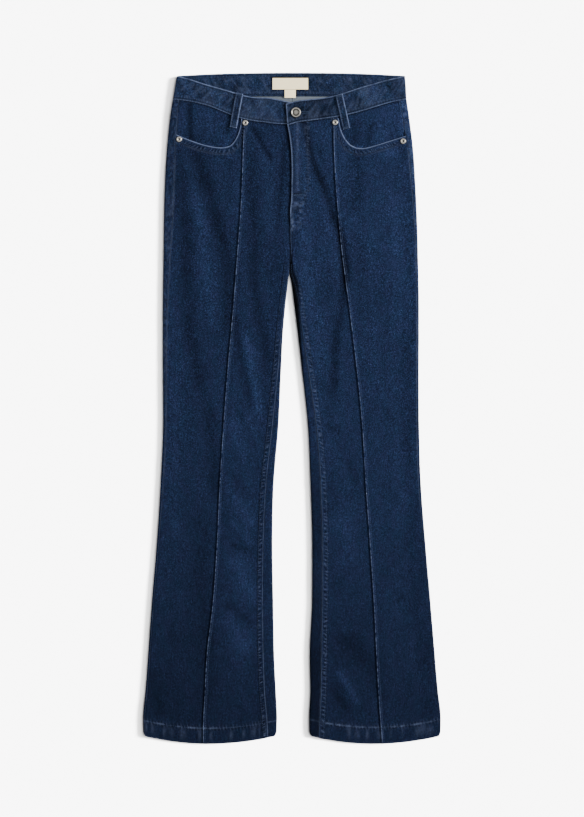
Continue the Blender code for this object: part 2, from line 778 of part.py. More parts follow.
def yoke_seam(leg):
    """Heights of the yoke seam, by column: level at the side and lower at the centre back."""
    places = back_places(leg, YOKE_SIDE)
    outer = leg.read("outer", YOKE_SIDE)
    span = abs(centre("back_seam", YOKE_SIDE) - outer)
    heights = []
    for across, from_inner in places:
        x = ring(leg, YOKE_SIDE, across, from_inner)[0][0]
        heights.append(YOKE_SIDE + (YOKE_CENTRE - YOKE_SIDE) * abs(x - outer) / span)
    return heights


def yoke_top(leg):
    """Heights of the yoke's top edge, by column, under the front and the back of the band."""
    heights = []
    for across, from_inner in back_places(leg, BACK_BAND_CORNER):
        x = ring(leg, BACK_BAND_CORNER, across, from_inner)[0][0]
        over = across > 0.0 and not from_inner
        heights.append(band_bottom(leg.band if over else BAND_BACK, x))
    return heights


def between(low, high, share):
    return [a + (b - a) * share for a, b in zip(low, high)]


def back_rows(leg):
    """All rows of a back, from the hem to the yoke seam."""
    width = len(back_places(leg, HIP))
    rows = [back_row(leg, [height] * width) for height in LEG_ROWS + HIP_ROWS]
    top = [height - SEAM_GAP / 2.0 for height in yoke_seam(leg)]
    for r in range(1, BACK_TOP_ROWS + 1):
        rows.append(back_row(leg, between([HIP] * width, top, r / BACK_TOP_ROWS)))
    return rows


def yoke_rows(leg):
    low = [height + SEAM_GAP / 2.0 for height in yoke_seam(leg)]
    high = yoke_top(leg)
    return [back_row(leg, between(low, high, r / YOKE_ROWS)) for r in range(YOKE_ROWS + 1)]


def facing_rows(leg):
    """The pocket facing: from the waistband down to a line that follows below the scoop."""
    scoop = resample(scoop_line(leg), FACING_COLUMNS)
    low = []
    for c, (x, height) in enumerate(scoop):
        x0, h0 = scoop[max(c - 1, 0)]
        x1, h1 = scoop[min(c + 1, FACING_COLUMNS - 1)]
        length = math.hypot(x1 - x0, h1 - h0)
        down = (-leg.side * (h1 - h0) / length, leg.side * (x1 - x0) / length)
        low.append((x + down[0] * FACING_REACH, height + down[1] * FACING_REACH))
    low_start = leg.scoop_start - FACING_REACH
    low[0] = (outseam_x(leg, low_start) - leg.side * SEAM_GAP / 2.0, low_start)
    last_x = leg.scoop_end - leg.side * FACING_REACH
    low[-1] = (last_x, band_bottom(leg.band, last_x))
    corner = band_bottom(leg.band, outseam_x(leg, BACK_BAND_CORNER))
    corner_x = outseam_x(leg, corner) - leg.side * SEAM_GAP / 2.0
    xs = np.linspace(corner_x, leg.scoop_end, FACING_COLUMNS)
    high = list(zip(xs, below_band(leg.band, xs)))
    rows = []
    for r in range(FACING_ROWS + 1):
        share = r / FACING_ROWS
        line = [
            (x0 + (x1 - x0) * share, h0 + (h1 - h0) * share)
            for (x0, h0), (x1, h1) in zip(low, high)
        ]
        shift = outseam_x(leg, line[0][1]) - leg.side * SEAM_GAP / 2.0 - line[0][0]
        row = []
        for c, (x, height) in enumerate(line):
            x += shift * (1.0 - c / (FACING_COLUMNS - 1)) ** 2
            z = facing_top(leg, x, height)
            row.append(((x, height, z), (x, height, z - CLOTH)))
        rows.append(row)
    return rows


def band_stations():
    """Top edge, bottom edge and outward direction at each station round the waistband."""
    stations = []
    for table, way in ((BAND_RIGHT, 1.0), (BAND_BACK[::-1], -1.0), (BAND_LEFT[::-1], 1.0)):
        if stations:
            stations += band_fold(stations[-1], table[0])
        for top_x, top_height, bottom_x, bottom_height, z in table:
            top = (top_x, top_height, z)
            bottom = (bottom_x, bottom_height, z)
            stations.append((top, bottom, (0.0, way)))
    return stations


def band_fold(last, row):
    """Stations round a side fold, from one face's last station to the next face's first."""
    (top_x, top_height, top_z), (bottom_x, bottom_height, _), (_, way) = last
    _, next_top_height, _, next_bottom_height, next_z = row
    radius = abs(top_z - next_z) / 2.0
    middle = (top_z + next_z) / 2.0
    side = math.copysign(1.0, top_x)
    turned = []
    for k in range(1, BAND_FOLD_STEPS):
        share = k / BAND_FOLD_STEPS
        angle = way * math.pi * (0.5 - share)
        out = side * radius * math.cos(angle)
        z = middle + radius * math.sin(angle)
        top = (top_x + out, top_height + (next_top_height - top_height) * share, z)
        bottom_now = bottom_height + (next_bottom_height - bottom_height) * share
        bottom = (bottom_x + out, bottom_now, z)
        turned.append((top, bottom, (side * math.cos(angle), math.sin(angle))))
    return turned


def band_section(top, bottom, direction):
    """Eight points round the band at a station, its long edges rounded over."""
    top = np.array(top)
    bottom = np.array(bottom)
    up = (top - bottom) / np.linalg.norm(top - bottom)
    inward = -np.array((direction[0], 0.0, direction[1]))
    edge = BAND_EDGE
    back = BAND_CLOTH
    return [
        bottom + edge * up,
        top - edge * up,
        top + edge * inward,
        top + (back - edge) * inward,
        top - edge * up + back * inward,
        bottom + edge * up + back * inward,
        bottom + (back - edge) * inward,
        bottom + edge * inward,
    ]


def make_waistband(material, collection, cutters):
    """The band as one strip round the waist, with the buttonhole cut through its over end."""
    sections = [band_section(*station) for station in band_stations()]
    width = len(sections[0])
    points = [tuple(point) for section in sections for point in section]
    faces = [tuple(range(width)), tuple(len(points) - 1 - i for i in range(width))]
    for s in range(len(sections) - 1):
        for c in range(width):
            a = s * width + c
            b = s * width + (c + 1) % width
            faces.append((a, b, b + width, a + width))
    band = finish_mesh("waistband", points, faces, material, collection)
    for cutter in buttonhole_cutters(cutters):
        cut = band.modifiers.new(cutter.name, "BOOLEAN")
        cut.operation = "DIFFERENCE"
        cut.solver = "EXACT"
        cut.object = cutter
    return band


def buttonhole_cutters(cutters):
    """A cylinder for the eye and a thin block for the slit."""
    middle = (HOLE_BOTTOM + HOLE_TOP) / 2.0
    depth = HOLE_TOP - HOLE_BOTTOM
    eye = bmesh.new()
    bmesh.ops.create_cone(
        eye, cap_ends=True, segments=EYE_STEPS, depth=depth * MM,
        radius1=EYE_RADIUS * MM, radius2=EYE_RADIUS * MM,
    )
    slit = bmesh.new()
    bmesh.ops.create_cube(slit, size=1.0)
    bmesh.ops.scale(slit, vec=(SLIT_LENGTH * MM, SLIT_WIDTH * MM, depth * MM), verts=slit.verts)
    made = []
    for name, shape, x in (
        ("buttonhole_eye", eye, BUTTON_X),
        ("buttonhole_slit", slit, BUTTON_X + SLIT_LENGTH / 2.0),
    ):
        mesh = bpy.data.meshes.new(name)
        shape.to_mesh(mesh)
        shape.free()
        cutter = bpy.data.objects.new(name, mesh)
        cutter.location = to_metres((x, BUTTON_HEIGHT, middle))
        cutter.hide_render = True
        cutter.display_type = "WIRE"
        cutters.objects.link(cutter)
        made.append(cutter)
    return made


def make_turned(name, profile, steps, place, material, collection):
    """A round piece: its profile turned about the vertical through its place."""
    mesh = bpy.data.meshes.new(name)
    points = [(radius * MM, 0.0, z * MM) for radius, z in profile]
    edges = [(i, i + 1) for i in range(len(points) - 1)]
    mesh.from_pydata(points, edges, [])
    mesh.materials.append(material)
    obj = bpy.data.objects.new(name, mesh)
    obj.location = to_metres(place)
    turn = obj.modifiers.new("turn", "SCREW")
    turn.steps = steps
    turn.render_steps = steps
    turn.use_merge_vertices = True
    turn.merge_threshold = MERGE * MM
    turn.use_smooth_shade = True
    collection.objects.link(obj)
    return obj


def rivet_seat(leg, x, height):
    """Level of the highest cloth under a rivet."""
    seats = []
    for step in range(RIVET_SEAT_POINTS):
        angle = 2.0 * math.pi * step / RIVET_SEAT_POINTS
        at = (x + RIVET_RADIUS * math.cos(angle), height + RIVET_RADIUS * math.sin(angle))
        seats.append(front_top(leg, *at))
    return max(seats) + SEAM_GAP + RIVET_CLEAR


def make_front_loop(name, leg, ends, material, collection):
    """A belt loop over the front of the band, down on to the pocket facing."""
    top_x, top_height, bottom_x, bottom_height = ends
    length = math.hypot(bottom_x - top_x, bottom_height - top_height)
    along = ((bottom_x - top_x) / length, (bottom_height - top_height) / length)
    aside = (-along[1], along[0])
    edge = length
    for step in range(int(length)):
        if top_height + along[1] * step < band_bottom(leg.band, top_x + along[0] * step):
            edge = float(step)
            break
    clear = edge + LOOP_PAST_BAND
    landed = clear + LOOP_STEP
    stops = [share * edge for share in LOOP_ARCH]
    stops += [clear, landed, (landed + length) / 2.0, length]
    rows = []
    for stop in stops:
        row = []
        for offset in (-LOOP_WIDTH / 2.0, 0.0, LOOP_WIDTH / 2.0):
            x = top_x + along[0] * stop + aside[0] * offset
            height = top_height + along[1] * stop + aside[1] * offset
            spring = LOOP_SPRING * ease(min(stop, edge - stop) / (LOOP_SPRING_EASE * edge))
            z = band_level(leg.band, top_x) + SEAM_GAP + spring
            if stop >= landed:
                z = facing_top(leg, x, height) + SEAM_GAP
            row.append(((x, height, z + LOOP_CLOTH), (x, height, z)))
        rows.append(row)
    return make_wall(name, rows, material, collection)


def make_block(name, size, place, turn, bevel, material, collection):
    """A block with bevelled edges, for a flat piece of webbing, label or zip slider."""
    shape = bmesh.new()
    bmesh.ops.create_cube(shape, size=1.0)
    bmesh.ops.scale(shape, vec=[side * MM for side in size], verts=shape.verts)
    mesh = bpy.data.meshes.new(name)
    shape.to_mesh(mesh)
    shape.free()
    mesh.materials.append(material)
    obj = bpy.data.objects.new(name, mesh)
    obj.location = to_metres(place)
    obj.rotation_euler = (0.0, 0.0, turn)
    edge = obj.modifiers.new("edge", "BEVEL")
    edge.width = bevel * MM
    edge.segments = 2
    edge.limit_method = "NONE"
    collection.objects.link(obj)
    return obj


def make_back_loop(name, ends, material, collection):
    """A belt loop between the band and the surface that the garment lies on."""
    top_x, top_height, bottom_x, bottom_height = ends
    length = math.hypot(bottom_x - top_x, bottom_height - top_height)
    middle = ((top_x + bottom_x) / 2.0, (top_height + bottom_height) / 2.0)
    turn = math.atan2(top_height - bottom_height, top_x - bottom_x) - math.pi / 2.0
    size = (LOOP_WIDTH, length, BACK_LOOP_CLOTH)
    place = (*middle, BACK_LOOP_CLOTH / 2.0)
    return make_block(name, size, place, turn, BACK_LOOP_BEVEL, material, collection)


def make_zip_tape(material, collection):
    """The zip's tape, with its closed chain as one ridge."""
    side = ZIP_CHAIN_SIDE
    foot = side + ZIP_CHAIN_SLOPE
    offsets = (-ZIP_TAPE_SIDE, -foot, -side, side, foot, ZIP_TAPE_SIDE)
    rows = []
    for height in ZIP_ROWS:
        row = []
        under = level("under", height) + ZIP_TAPE_LEVEL
        for offset in offsets:
            x = centre("fly", height) + ZIP_CHAIN_X + offset
            chain = abs(offset) <= side and height <= ZIP_CHAIN_TOP
            top = under + ZIP_TAPE_CLOTH + (ZIP_CHAIN_RISE if chain else 0.0)
            row.append(((x, height, top), (x, height, under)))
        rows.append(row)
    return make_wall("zip_tape", rows, material, collection)


def make_zip_slider(material, collection):
    top_end = SLIDER_HEIGHT + SLIDER_LENGTH / 2.0
    seat = level("under", top_end) + ZIP_TAPE_LEVEL + ZIP_TAPE_CLOTH + SEAM_GAP
    place = (centre("fly", SLIDER_HEIGHT) + ZIP_CHAIN_X, SLIDER_HEIGHT, seat + SLIDER_RISE / 2.0)
    size = (SLIDER_WIDTH, SLIDER_LENGTH, SLIDER_RISE)
    return make_block("zip_slider", size, place, 0.0, SLIDER_BEVEL, material, collection)


def make_label(name, spot, material, collection):
    x0, x1, low, high = spot
    seat = BACK_BAND_LEVEL + BAND_CLOTH + SEAM_GAP
    place = ((x0 + x1) / 2.0, (low + high) / 2.0, seat + LABEL_CLOTH / 2.0)
    size = (x1 - x0, high - low, LABEL_CLOTH)
    return make_block(name, size, place, 0.0, LABEL_BEVEL, material, collection)


def make_material(name, colour, roughness, metallic=0.0):
    material = bpy.data.materials.new(name)
    material.use_nodes = True
    shader = material.node_tree.nodes["Principled BSDF"]
    shader.inputs["Base Color"].default_value = (*colour, 1.0)
    shader.inputs["Roughness"].default_value = roughness
    shader.inputs["Metallic"].default_value = metallic
    return material


def main():
    for obj in list(bpy.data.objects):
        bpy.data.objects.remove(obj, do_unlink=True)
    jeans = bpy.data.collections.new("bootcut_jeans")
    cutters = bpy.data.collections.new("cutters")
    bpy.context.scene.collection.children.link(jeans)
    bpy.context.scene.collection.children.link(cutters)
    denim = make_material("denim", DENIM, 0.85)
    band_denim = make_material("band_denim", DENIM_BAND, 0.85)
    tape = make_material("zip_tape_cloth", TAPE, 0.8)
    label = make_material("label_weave", LABEL, 0.7)
    metal = make_material("worn_metal", METAL, 0.4, 1.0)

    scoop_right = (SCOOP_START_RIGHT, SCOOP_RIGHT, SCOOP_END_RIGHT)
    scoop_left = (SCOOP_START_LEFT, SCOOP_LEFT, SCOOP_END_LEFT)
    right = Leg("right", -1.0, LEG_RIGHT, CREASES_RIGHT, BAND_RIGHT, scoop_right)
    left = Leg("left", 1.0, LEG_LEFT, CREASES_LEFT, BAND_LEFT, scoop_left)
    for leg in (right, left):
        make_wall(f"front_{leg.name}", front_rows(leg), denim, jeans)
        make_wall(f"back_{leg.name}", back_rows(leg), denim, jeans)
        make_wall(f"yoke_{leg.name}", yoke_rows(leg), denim, jeans)
        make_wall(f"pocket_facing_{leg.name}", facing_rows(leg), denim, jeans)
    make_waistband(band_denim, jeans, cutters)
    for name, ends in FRONT_LOOPS.items():
        leg = right if ends[0] < 0.0 else left
        make_front_loop(name, leg, ends, band_denim, jeans)
    for name, ends in BACK_LOOPS.items():
        make_back_loop(name, ends, band_denim, jeans)
    for name, spot in LABELS.items():
        make_label(name, spot, label, jeans)
    make_zip_tape(tape, jeans)
    make_zip_slider(metal, jeans)
    button_place = (BUTTON_X, BUTTON_HEIGHT, 0.0)
    make_turned("button", BUTTON_PROFILE, BUTTON_STEPS, button_place, metal, jeans)
    for name, (x, height) in RIVETS.items():
        seat = rivet_seat(right if x < 0.0 else left, x, height)
        place = (x, height, seat)
        make_turned(name, RIVET_PROFILE, RIVET_STEPS, place, metal, jeans)


main()
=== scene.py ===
"""Looks for the bootcut jeans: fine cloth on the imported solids' form, sewing, metal and light.

Lengths are in millimetres as (X, height, Z), and become metres when a mesh is made. Heights run
up the garment from the lowest point of the hems. Right and left are the wearer's.
"""

import math

import bmesh
import bpy
import numpy as np
from mathutils import Matrix, Vector


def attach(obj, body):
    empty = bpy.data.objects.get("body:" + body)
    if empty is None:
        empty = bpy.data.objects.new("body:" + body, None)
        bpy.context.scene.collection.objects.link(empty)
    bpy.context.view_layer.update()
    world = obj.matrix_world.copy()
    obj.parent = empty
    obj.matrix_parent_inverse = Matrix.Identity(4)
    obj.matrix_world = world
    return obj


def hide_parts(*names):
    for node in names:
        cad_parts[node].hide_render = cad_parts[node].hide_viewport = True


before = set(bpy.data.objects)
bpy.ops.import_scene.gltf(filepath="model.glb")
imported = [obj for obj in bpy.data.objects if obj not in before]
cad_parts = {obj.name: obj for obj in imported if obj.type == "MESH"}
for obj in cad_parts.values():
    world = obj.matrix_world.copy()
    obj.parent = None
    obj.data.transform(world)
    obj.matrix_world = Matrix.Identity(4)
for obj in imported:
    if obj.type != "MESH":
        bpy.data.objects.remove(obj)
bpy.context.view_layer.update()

MM = 0.001
TURN = 2.0 * np.pi
DIAGONAL = math.sqrt(2.0)
TURN_45 = Matrix.Rotation(math.pi / 4.0, 3, "Z")

# Driving sizes of the garment.
LENGTH = 1139.0
CLOTH = 1.2
HEM_CLOTH = 2.2
HEM_DEPTH = 25.0
BAND_CLOTH = 2.6
SEAM_GAP = 0.3
HALF_GAP = SEAM_GAP / 2.0
BAND_GAP = 0.45
CROTCH = 818.0
CROTCH_RISE = 34.0
HIP = 972.0
YOKE_SIDE = 1062.0
YOKE_CENTRE = 1026.0

# The hem dips in the middle of each leg, and its corners are rounded.
HEM_DIP = 13.6
BACK_HEM_TUCKED_UP = 2.2
HEM_DIP_END = 150.0
HEM_CORNER = 3.0
HEM_CORNER_RISE = 9.0

# How far the extra thickness reaches in from a fold, and the flat strip beside the fly.
FOLD_REACH = 34.0
FLY_PLAIN = 12.0
FLY_TOP = 1052.0

# Each leg, from hem to waist: the X of its outer fold, inner fold and front tuck, and how far
# the outseam and the inseam lie in from the folds.
LEG_COLUMNS = ("height", "outer", "inner", "tuck", "wrap_out", "wrap_in")
LEG_RIGHT = (
    (0, -252.4, -26, -148.3, 3.4, 13.6), (30, -252.8, -25, -148.3, 3.4, 16.4),
    (80, -248.8, -26.9, -145.9, 3.4, 18.6), (150, -244, -29.8, -142.2, 3.4, 18.2),
    (240, -237.6, -31.5, -131.8, 3.4, 17.7), (340, -229.3, -33, -124.9, 3.6, 15.1),
    (440, -222.9, -30.8, -120.3, 4.2, 12.5), (540, -218.6, -22.7, -113.9, 4.8, 9.6),
    (640, -219.1, -17.9, -106.4, 6.2, 4.4), (700, -219.2, -14.8, -101.1, 7.2, 2.2),
    (760, -219, -9.1, -95.8, 8.8, 1), (790, -218.6, -5.6, -93.5, 9.9, 0.5),
    (818, -218.1, -3, -91.4, 11, 0), (860, -217.6, -3, -88.2, 13.4, 0),
    (905, -217, -3, -84.9, 15.4, 0), (955, -215.4, -3, -82.4, 15.6, 0),
    (1005, -212.6, -3, -80.8, 14.6, 0), (1035, -210, -3, -79.6, 13.8, 0),
    (1065, -206.5, -3, -78.8, 12.4, 0), (1095, -201.8, -3, -78.6, 10.2, 0),
)
LEG_LEFT = (
    (0, 252.4, 29.4, 155.5, 3.4, 15), (30, 252.8, 29, 153.1, 3.4, 17),
    (80, 248.2, 31, 149.6, 3.4, 17.4), (150, 242.8, 29.9, 145.8, 3.4, 19.4),
    (240, 235.3, 33.9, 141.3, 3.4, 16.8), (340, 226.6, 34.2, 134.6, 3.4, 17),
    (440, 219, 31.3, 127.6, 3.4, 17), (540, 215.9, 26.9, 121.6, 3.4, 13.5),
    (640, 215.4, 16.2, 111.8, 3.4, 9.9), (700, 215.8, 9.3, 104.6, 3.4, 7.4),
    (760, 215.6, 1.9, 97, 3.4, 6.4), (784, 215.1, -1.2, 93.6, 3.4, 3.9),
    (800, 214.8, -4.4, 91.6, 3.4, 2.4), (818, 214.4, -3, 89.1, 3.5, 0),
    (860, 213.5, -3, 84.3, 3.9, 0), (905, 211.9, -3, 80.2, 5, 0), (955, 209.5, -3, 76.2, 7, 0),
    (1005, 206.2, -3, 73.8, 9, 0), (1035, 203, -3, 73.1, 10.6, 0), (1065, 198.9, -3, 72.8, 11.6, 0),
    (1095, 194.5, -3, 72.7, 11.8, 0),
)

# How the layers lie: the underside of the back, the top of the front in the middle of a leg,
# the top of the outer fold, and the tops of the two fronts where they meet at the centre.
LEVEL_COLUMNS = ("height", "under", "middle", "fold", "centre_right", "centre_left")
LEVELS = (
    (0, 0, 5, 6, 5.6, 5.6), (27, 0, 5, 6, 5.6, 5.6), (60, 0, 3.6, 5.7, 5.6, 5.6),
    (150, 0, 3.3, 5.6, 5.6, 5.6), (760, 0, 3.4, 5.6, 5.6, 5.6), (818, 0, 4, 5.6, 5.6, 5.6),
    (850, 0, 4.4, 5.6, 4.9, 4.9), (868, 0, 4.6, 5.6, 4.7, 4.7), (893, 0, 4.6, 5.6, 4, 5.6),
    (905, 0, 4.6, 5.6, 4, 5.6), (1012, 0, 4.6, 5.7, 4, 5.8), (1030, 0.3, 4.9, 5.9, 4.3, 6.9),
    (1050, 0.9, 5.5, 6.3, 4.9, 7.4), (1072, 1.7, 6, 6.7, 5.4, 7.6), (1099, 1.7, 6.2, 6.8, 5.6, 7.6),
)

# The X of the fly's edge, of the back seam, and how far the right front runs under the left.
CENTRE_COLUMNS = ("height", "fly", "back_seam", "lap")
CENTRE = (
    (818, -3, -3, -0.15), (838, -2.3, -2.9, -0.15), (868, -3.2, -2.6, -0.15),
    (893, -3.2, -2.4, -0.15), (905, -3, -2.2, 2.2), (923, -0.8, -2, 2.2), (948, 0.4, -1.7, 2.2),
    (974, 1.3, -1.4, 2.2), (1008, 0.1, -1, 2.2), (1034, -3, -0.6, 2.2), (1050, -5.9, -0.4, 2.2),
    (1099, -8.4, 0, 2.2),
)

# The front tuck dies out under the rivet: how far below the band it ends, and over what length.
TUCK_TOP_PLAIN = 8.0
TUCK_TOP_FADE = 16.0

# Creases die out in a margin beside the folds, and over a share of their own length.
CREASE_MARGIN = 20.0
CREASE_END = 0.3

# The largest creases: the X and height of each end, its half width, and how far it stands
# out of the panel, or sinks into it.
CREASES_RIGHT = (
    (-72, 1046, -36, 992, 10, -0.7), (-196, 930, -150, 860, 14, 0.8), (-96, 566, -62, 464, 15, 0.9),
    (-116, 414, -70, 330, 14, 1), (-128, 210, -80, 176, 12, 0.8),
)
CREASES_LEFT = (
    (28, 1040, 74, 906, 14, -0.8), (8, 920, 14, 702, 12, 0.9), (130, 620, 176, 540, 16, 0.9),
    (60, 470, 104, 380, 15, 0.9), (74, 124, 108, 74, 12, 0.8),
)

# Pocket scoops, X and height along the edge, from the outseam to the waistband.
SCOOP_START_RIGHT = 1034.0
SCOOP_RIGHT = (
    (-177.6, 1026), (-147.3, 1015.4), (-120, 1011), (-104, 1014), (-94.1, 1027), (-88.4, 1042),
)
SCOOP_END_RIGHT = -85.4
SCOOP_START_LEFT = 1031.6
SCOOP_LEFT = (
    (172.5, 1025.3), (142, 1015.6), (119.3, 1009.4), (101.1, 1013.6), (90, 1026), (82.9, 1041),
)
SCOOP_END_LEFT = 78.4

# Pocket facings: how far they reach below the scoop, and how they sink under its edge.
FACING_REACH = 14.0
FACING_DROP = 1.8
FACING_EASE = 10.0
FACING_MARGIN = 2.5

# Waistband, outer face: X and height of its top and bottom edges, and its level. The front
# tables run from the fly round to the side, and the back's from the left to the right.
BACK_BAND_LEVEL = 1.7
BACK_BAND_CORNER = 1093.4
BAND_COLUMNS = ("top_x", "top_height", "bottom_x", "bottom_height", "level")
BAND_RIGHT = (
    (25, 1086.4, 25, 1058, 5.8), (8.1, 1087, 8.1, 1054.6, 5.8), (-8.9, 1090.4, -12.3, 1051.4, 5.8),
    (-24, 1093.6, -28, 1052.2, 6), (-40, 1096.4, -45, 1054.2, 6.6),
    (-59.9, 1097, -66.7, 1056.9, 7.2), (-83.7, 1100.8, -93.9, 1063.3, 7.2),
    (-107.5, 1108.2, -119.4, 1073.4, 7.2), (-129.6, 1114.4, -139.8, 1081.6, 7.2),
    (-150.9, 1120.6, -160.2, 1087.1, 7.2), (-172.1, 1127.6, -179.6, 1090.8, 7.2),
    (-192.4, 1132.8, -199.3, 1093, 7.2),
)
BAND_LEFT = (
    (-10.6, 1085.5, -8.1, 1048.9, 8.7), (-2, 1088.2, 1.6, 1052, 8.7),
    (10.6, 1091.2, 12.3, 1054.8, 8.7), (28.5, 1093.4, 30.2, 1057.1, 8.7),
    (48.9, 1095.6, 55.7, 1060.6, 8.1), (71, 1099.6, 80.3, 1064.6, 7.4),
    (93.1, 1106.2, 101.6, 1069, 7.2), (113.5, 1113, 123.7, 1075, 7.2),
    (135.6, 1119.4, 144.9, 1081.6, 7.2), (159.4, 1126.2, 167, 1088, 7.2),
    (189.5, 1132.8, 191.9, 1093, 7.2),
)
BAND_BACK = (
    (189.5, 1133.9, 191.9, BACK_BAND_CORNER, BACK_BAND_LEVEL),
    (130, 1137, 130, 1096.8, BACK_BAND_LEVEL), (65, 1138.6, 65, 1098.7, BACK_BAND_LEVEL),
    (0, 1139, 0, 1099, BACK_BAND_LEVEL), (-65, 1138.6, -65, 1098.7, BACK_BAND_LEVEL),
    (-130, 1137, -130, 1096.8, BACK_BAND_LEVEL),
    (-192.4, 1133.9, -199.3, BACK_BAND_CORNER, BACK_BAND_LEVEL),
)

# Button, and its buttonhole in the over end: a round eye for the shank, and a slit.
BUTTON_X = 6.7
BUTTON_HEIGHT = 1071.0
EYE_RADIUS = 3.2
SLIT_LENGTH = 20.5
SLIT_WIDTH = 0.9
HOLE_BOTTOM = 5.95
HOLE_TOP = 9.4

# Rivet caps: places, radius and clearance above the cloth.
RIVETS = {
    "rivet_waist_right": (-79.2, 1053.6),
    "rivet_waist_left": (73.2, 1054.2),
    "rivet_side_right": (-191.4, 1025.8),
    "rivet_side_left": (188.6, 1022.6),
}
RIVET_RADIUS = 4.9
RIVET_CLEAR = 0.2

# Turned profiles of the button and of a rivet cap: radius and level, from the top down.
BUTTON_FORM = (
    (0, 10.8), (2, 10.8), (3.4, 10.7), (4.6, 10.45), (5.5, 10.3), (6, 10.5), (6.4, 10.95),
    (7, 11.25), (7.7, 11.15), (8.3, 10.75), (8.6, 10.2), (8.5, 9.7), (8, 9.25), (6.5, 9.05),
    (2.2, 9), (2.2, 6.1), (0, 6.1),
)
RIVET_FORM = (
    (0, 0.55), (0.9, 0.55), (1.5, 0.7), (1.9, 1.15), (2.4, 1.5), (3, 1.6), (3.8, 1.45), (4.4, 1.1),
    (4.8, 0.6), (4.9, 0.1), (4.7, -0.4), (0, -0.4),
)

# Belt loops: X and height of the middle of the top and bottom ends. A front loop springs up
# over the band, clears its edge, steps down and lies on the facing.
LOOP_WIDTH = 12.6
LOOP_CLOTH = 1.5
LOOP_SPRING = 0.9
LOOP_SPRING_EASE = 0.4
LOOP_PAST_BAND = 1.0
LOOP_STEP = 2.6
FRONT_LOOPS = {
    "belt_loop_front_right": (-88.8, 1103.4, -99.8, 1045.5),
    "belt_loop_front_left": (79.9, 1100.8, 92.7, 1043.5),
}
BACK_LOOPS = {
    "belt_loop_back_right": (-136.0, 1136.6, -138.0, 1081.0),
    "belt_loop_back_centre": (0.0, 1138.8, 0.0, 1083.0),
    "belt_loop_back_left": (136.0, 1136.6, 138.0, 1081.0),
}
BACK_LOOP_CLOTH = 1.4

# Zip: heights of the tape's ends and of the closed chain's top, and how the tape lies.
ZIP_BOTTOM = 902.0
ZIP_TOP = 1047.0
ZIP_CHAIN_TOP = 1024.0
ZIP_CHAIN_X = 7.4
ZIP_TAPE_SIDE = 12.0
ZIP_TAPE_LEVEL = 1.5
ZIP_TAPE_CLOTH = 1.0

# Blank woven labels on the inner face of the back band: X range and height range, the level of
# that face, and of their own face above it.
LABEL_FACE = 0.72
LABEL_SEAT = BACK_BAND_LEVEL + BAND_CLOTH + SEAM_GAP
LABELS = {
    "label_main": (-33.0, 27.4, 1110.4, 1129.8),
    "label_size": (-12.4, 6.4, 1096.2, 1110.0),
}


# ---- Fine form that only this script adds, in mm -------------------------------------------

# Columns of a front beside its outseam, its felled inseam and its tuck, as distances from them,
# the tuck's form (offset and rise, pressed towards -X), and rows below its top edge.
SEAM_COLUMNS = (0, 0.12, 0.35, 0.8, 1.4, 2.2, 3.2, 4.6, 6.4)
FELLED_COLUMNS = (14, 12.2, 11, 10, 9, 8, 7, 5.6, 4.2, 3, 2, 1.3, 0.7, 0.3, 0.12, 0)
TUCK_COLUMNS = (
    -7, -5.8, -4.9, -4.2, -3.6, -3.2, -2.9, -2.74, -2.66, -2.5, -2.2, -1.7, -1, -0.2, 0.8, 1.8, 2.8,
    4.4,
)
TUCK_FORM = (
    (-2.9, 0), (-2.74, 0.35), (-2.66, 1.05), (-2.5, 1.4), (-2.2, 1.55), (-1.7, 1.55), (-1, 1.35),
    (-0.2, 1.1), (0.8, 0.7), (1.8, 0.3), (2.8, 0),
)
EDGE_ROWS = (14, 12, 10.5, 9.4, 8.4, 7.4, 6.4, 5.2, 4, 3, 2.2, 1.5, 1, 0.6, 0.3, 0.1, 0)

# The felled inseam, the spacing of puckers and ribs, the stitches, how far the panels go under the
# band, and how far the fly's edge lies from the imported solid's.
FELLED_WIDTH = 9.4
FELLED_RISE = 0.55
PUCKER_STEP = 5.6
INSEAM_STEP = 6.9
STITCH_STEP = 3.1
STITCH_LENGTH = 2.3
THREAD = 0.34
UNDER_BAND = 0.6
FLY_SHIFT = 1.9

# Where the fly's double cloth shows its stitching: above a height, and nearer than an X.
FLY_SEWN = 905.0
FLY_FAR = 60.0

# The first rows of the fronts and backs, close together at the hem's edge and its stitching.
FRONT_HEM_ROWS = (0.0, 0.1, 0.3, 0.7, 1.2, 2.0, 3.2, 4.8, 6.6, 9.0, 11.4, 13.8, 16.2, 18.6, 21.0, 23.0,
                  24.4, 25.4, 26.4, 27.4, 28.4, 29.4)
BACK_HEM_ROWS = (0.0, 0.1, 0.3, 0.7, 1.2, 2.0, 3.2, 5.0, 8.0, 12.0, 16.0, 20.0, 22.0, 23.0, 24.4, 25.6, 26.8,
                 28.0, 29.2)

# Columns of a back: beside each of its edges, round each fold, and over the flat underside.
BACK_EDGE = np.array((0.0, 0.12, 0.35, 0.8, 1.4, 2.2))
BACK_TURNS = np.linspace(0.0, 1.0, 19)[1:]
BACK_FLATS = np.linspace(0.0, 1.0, 45)[1:-1]
BACK_SIDE = len(BACK_EDGE) + len(BACK_TURNS)
BACK_COUNT = 2 * BACK_SIDE + len(BACK_FLATS)

# How much darker the strip inside the left leg is painted, by height: painted shade, as that strip
# faces away from the light.
INSIDE_LEG_PAINTED_SHADE = (
    (40, 0.28), (60, 0.34), (140, 0.34), (190, 0.12), (320, 0.12), (360, 0.22), (430, 0.18), (480, 0),
)

# Height of each hem's stitch row, how far the felled inseam's ribs slant, the height up to which
# they show, and how deep a fold's painted light and shade are.
HEM_ROWS = {"right": 26.6, "left": 28.2}
RIB_SLANT = 0.3
RIBS_END = {"right": 662.0, "left": 735.0}
FOLD_SHADE = 1.35
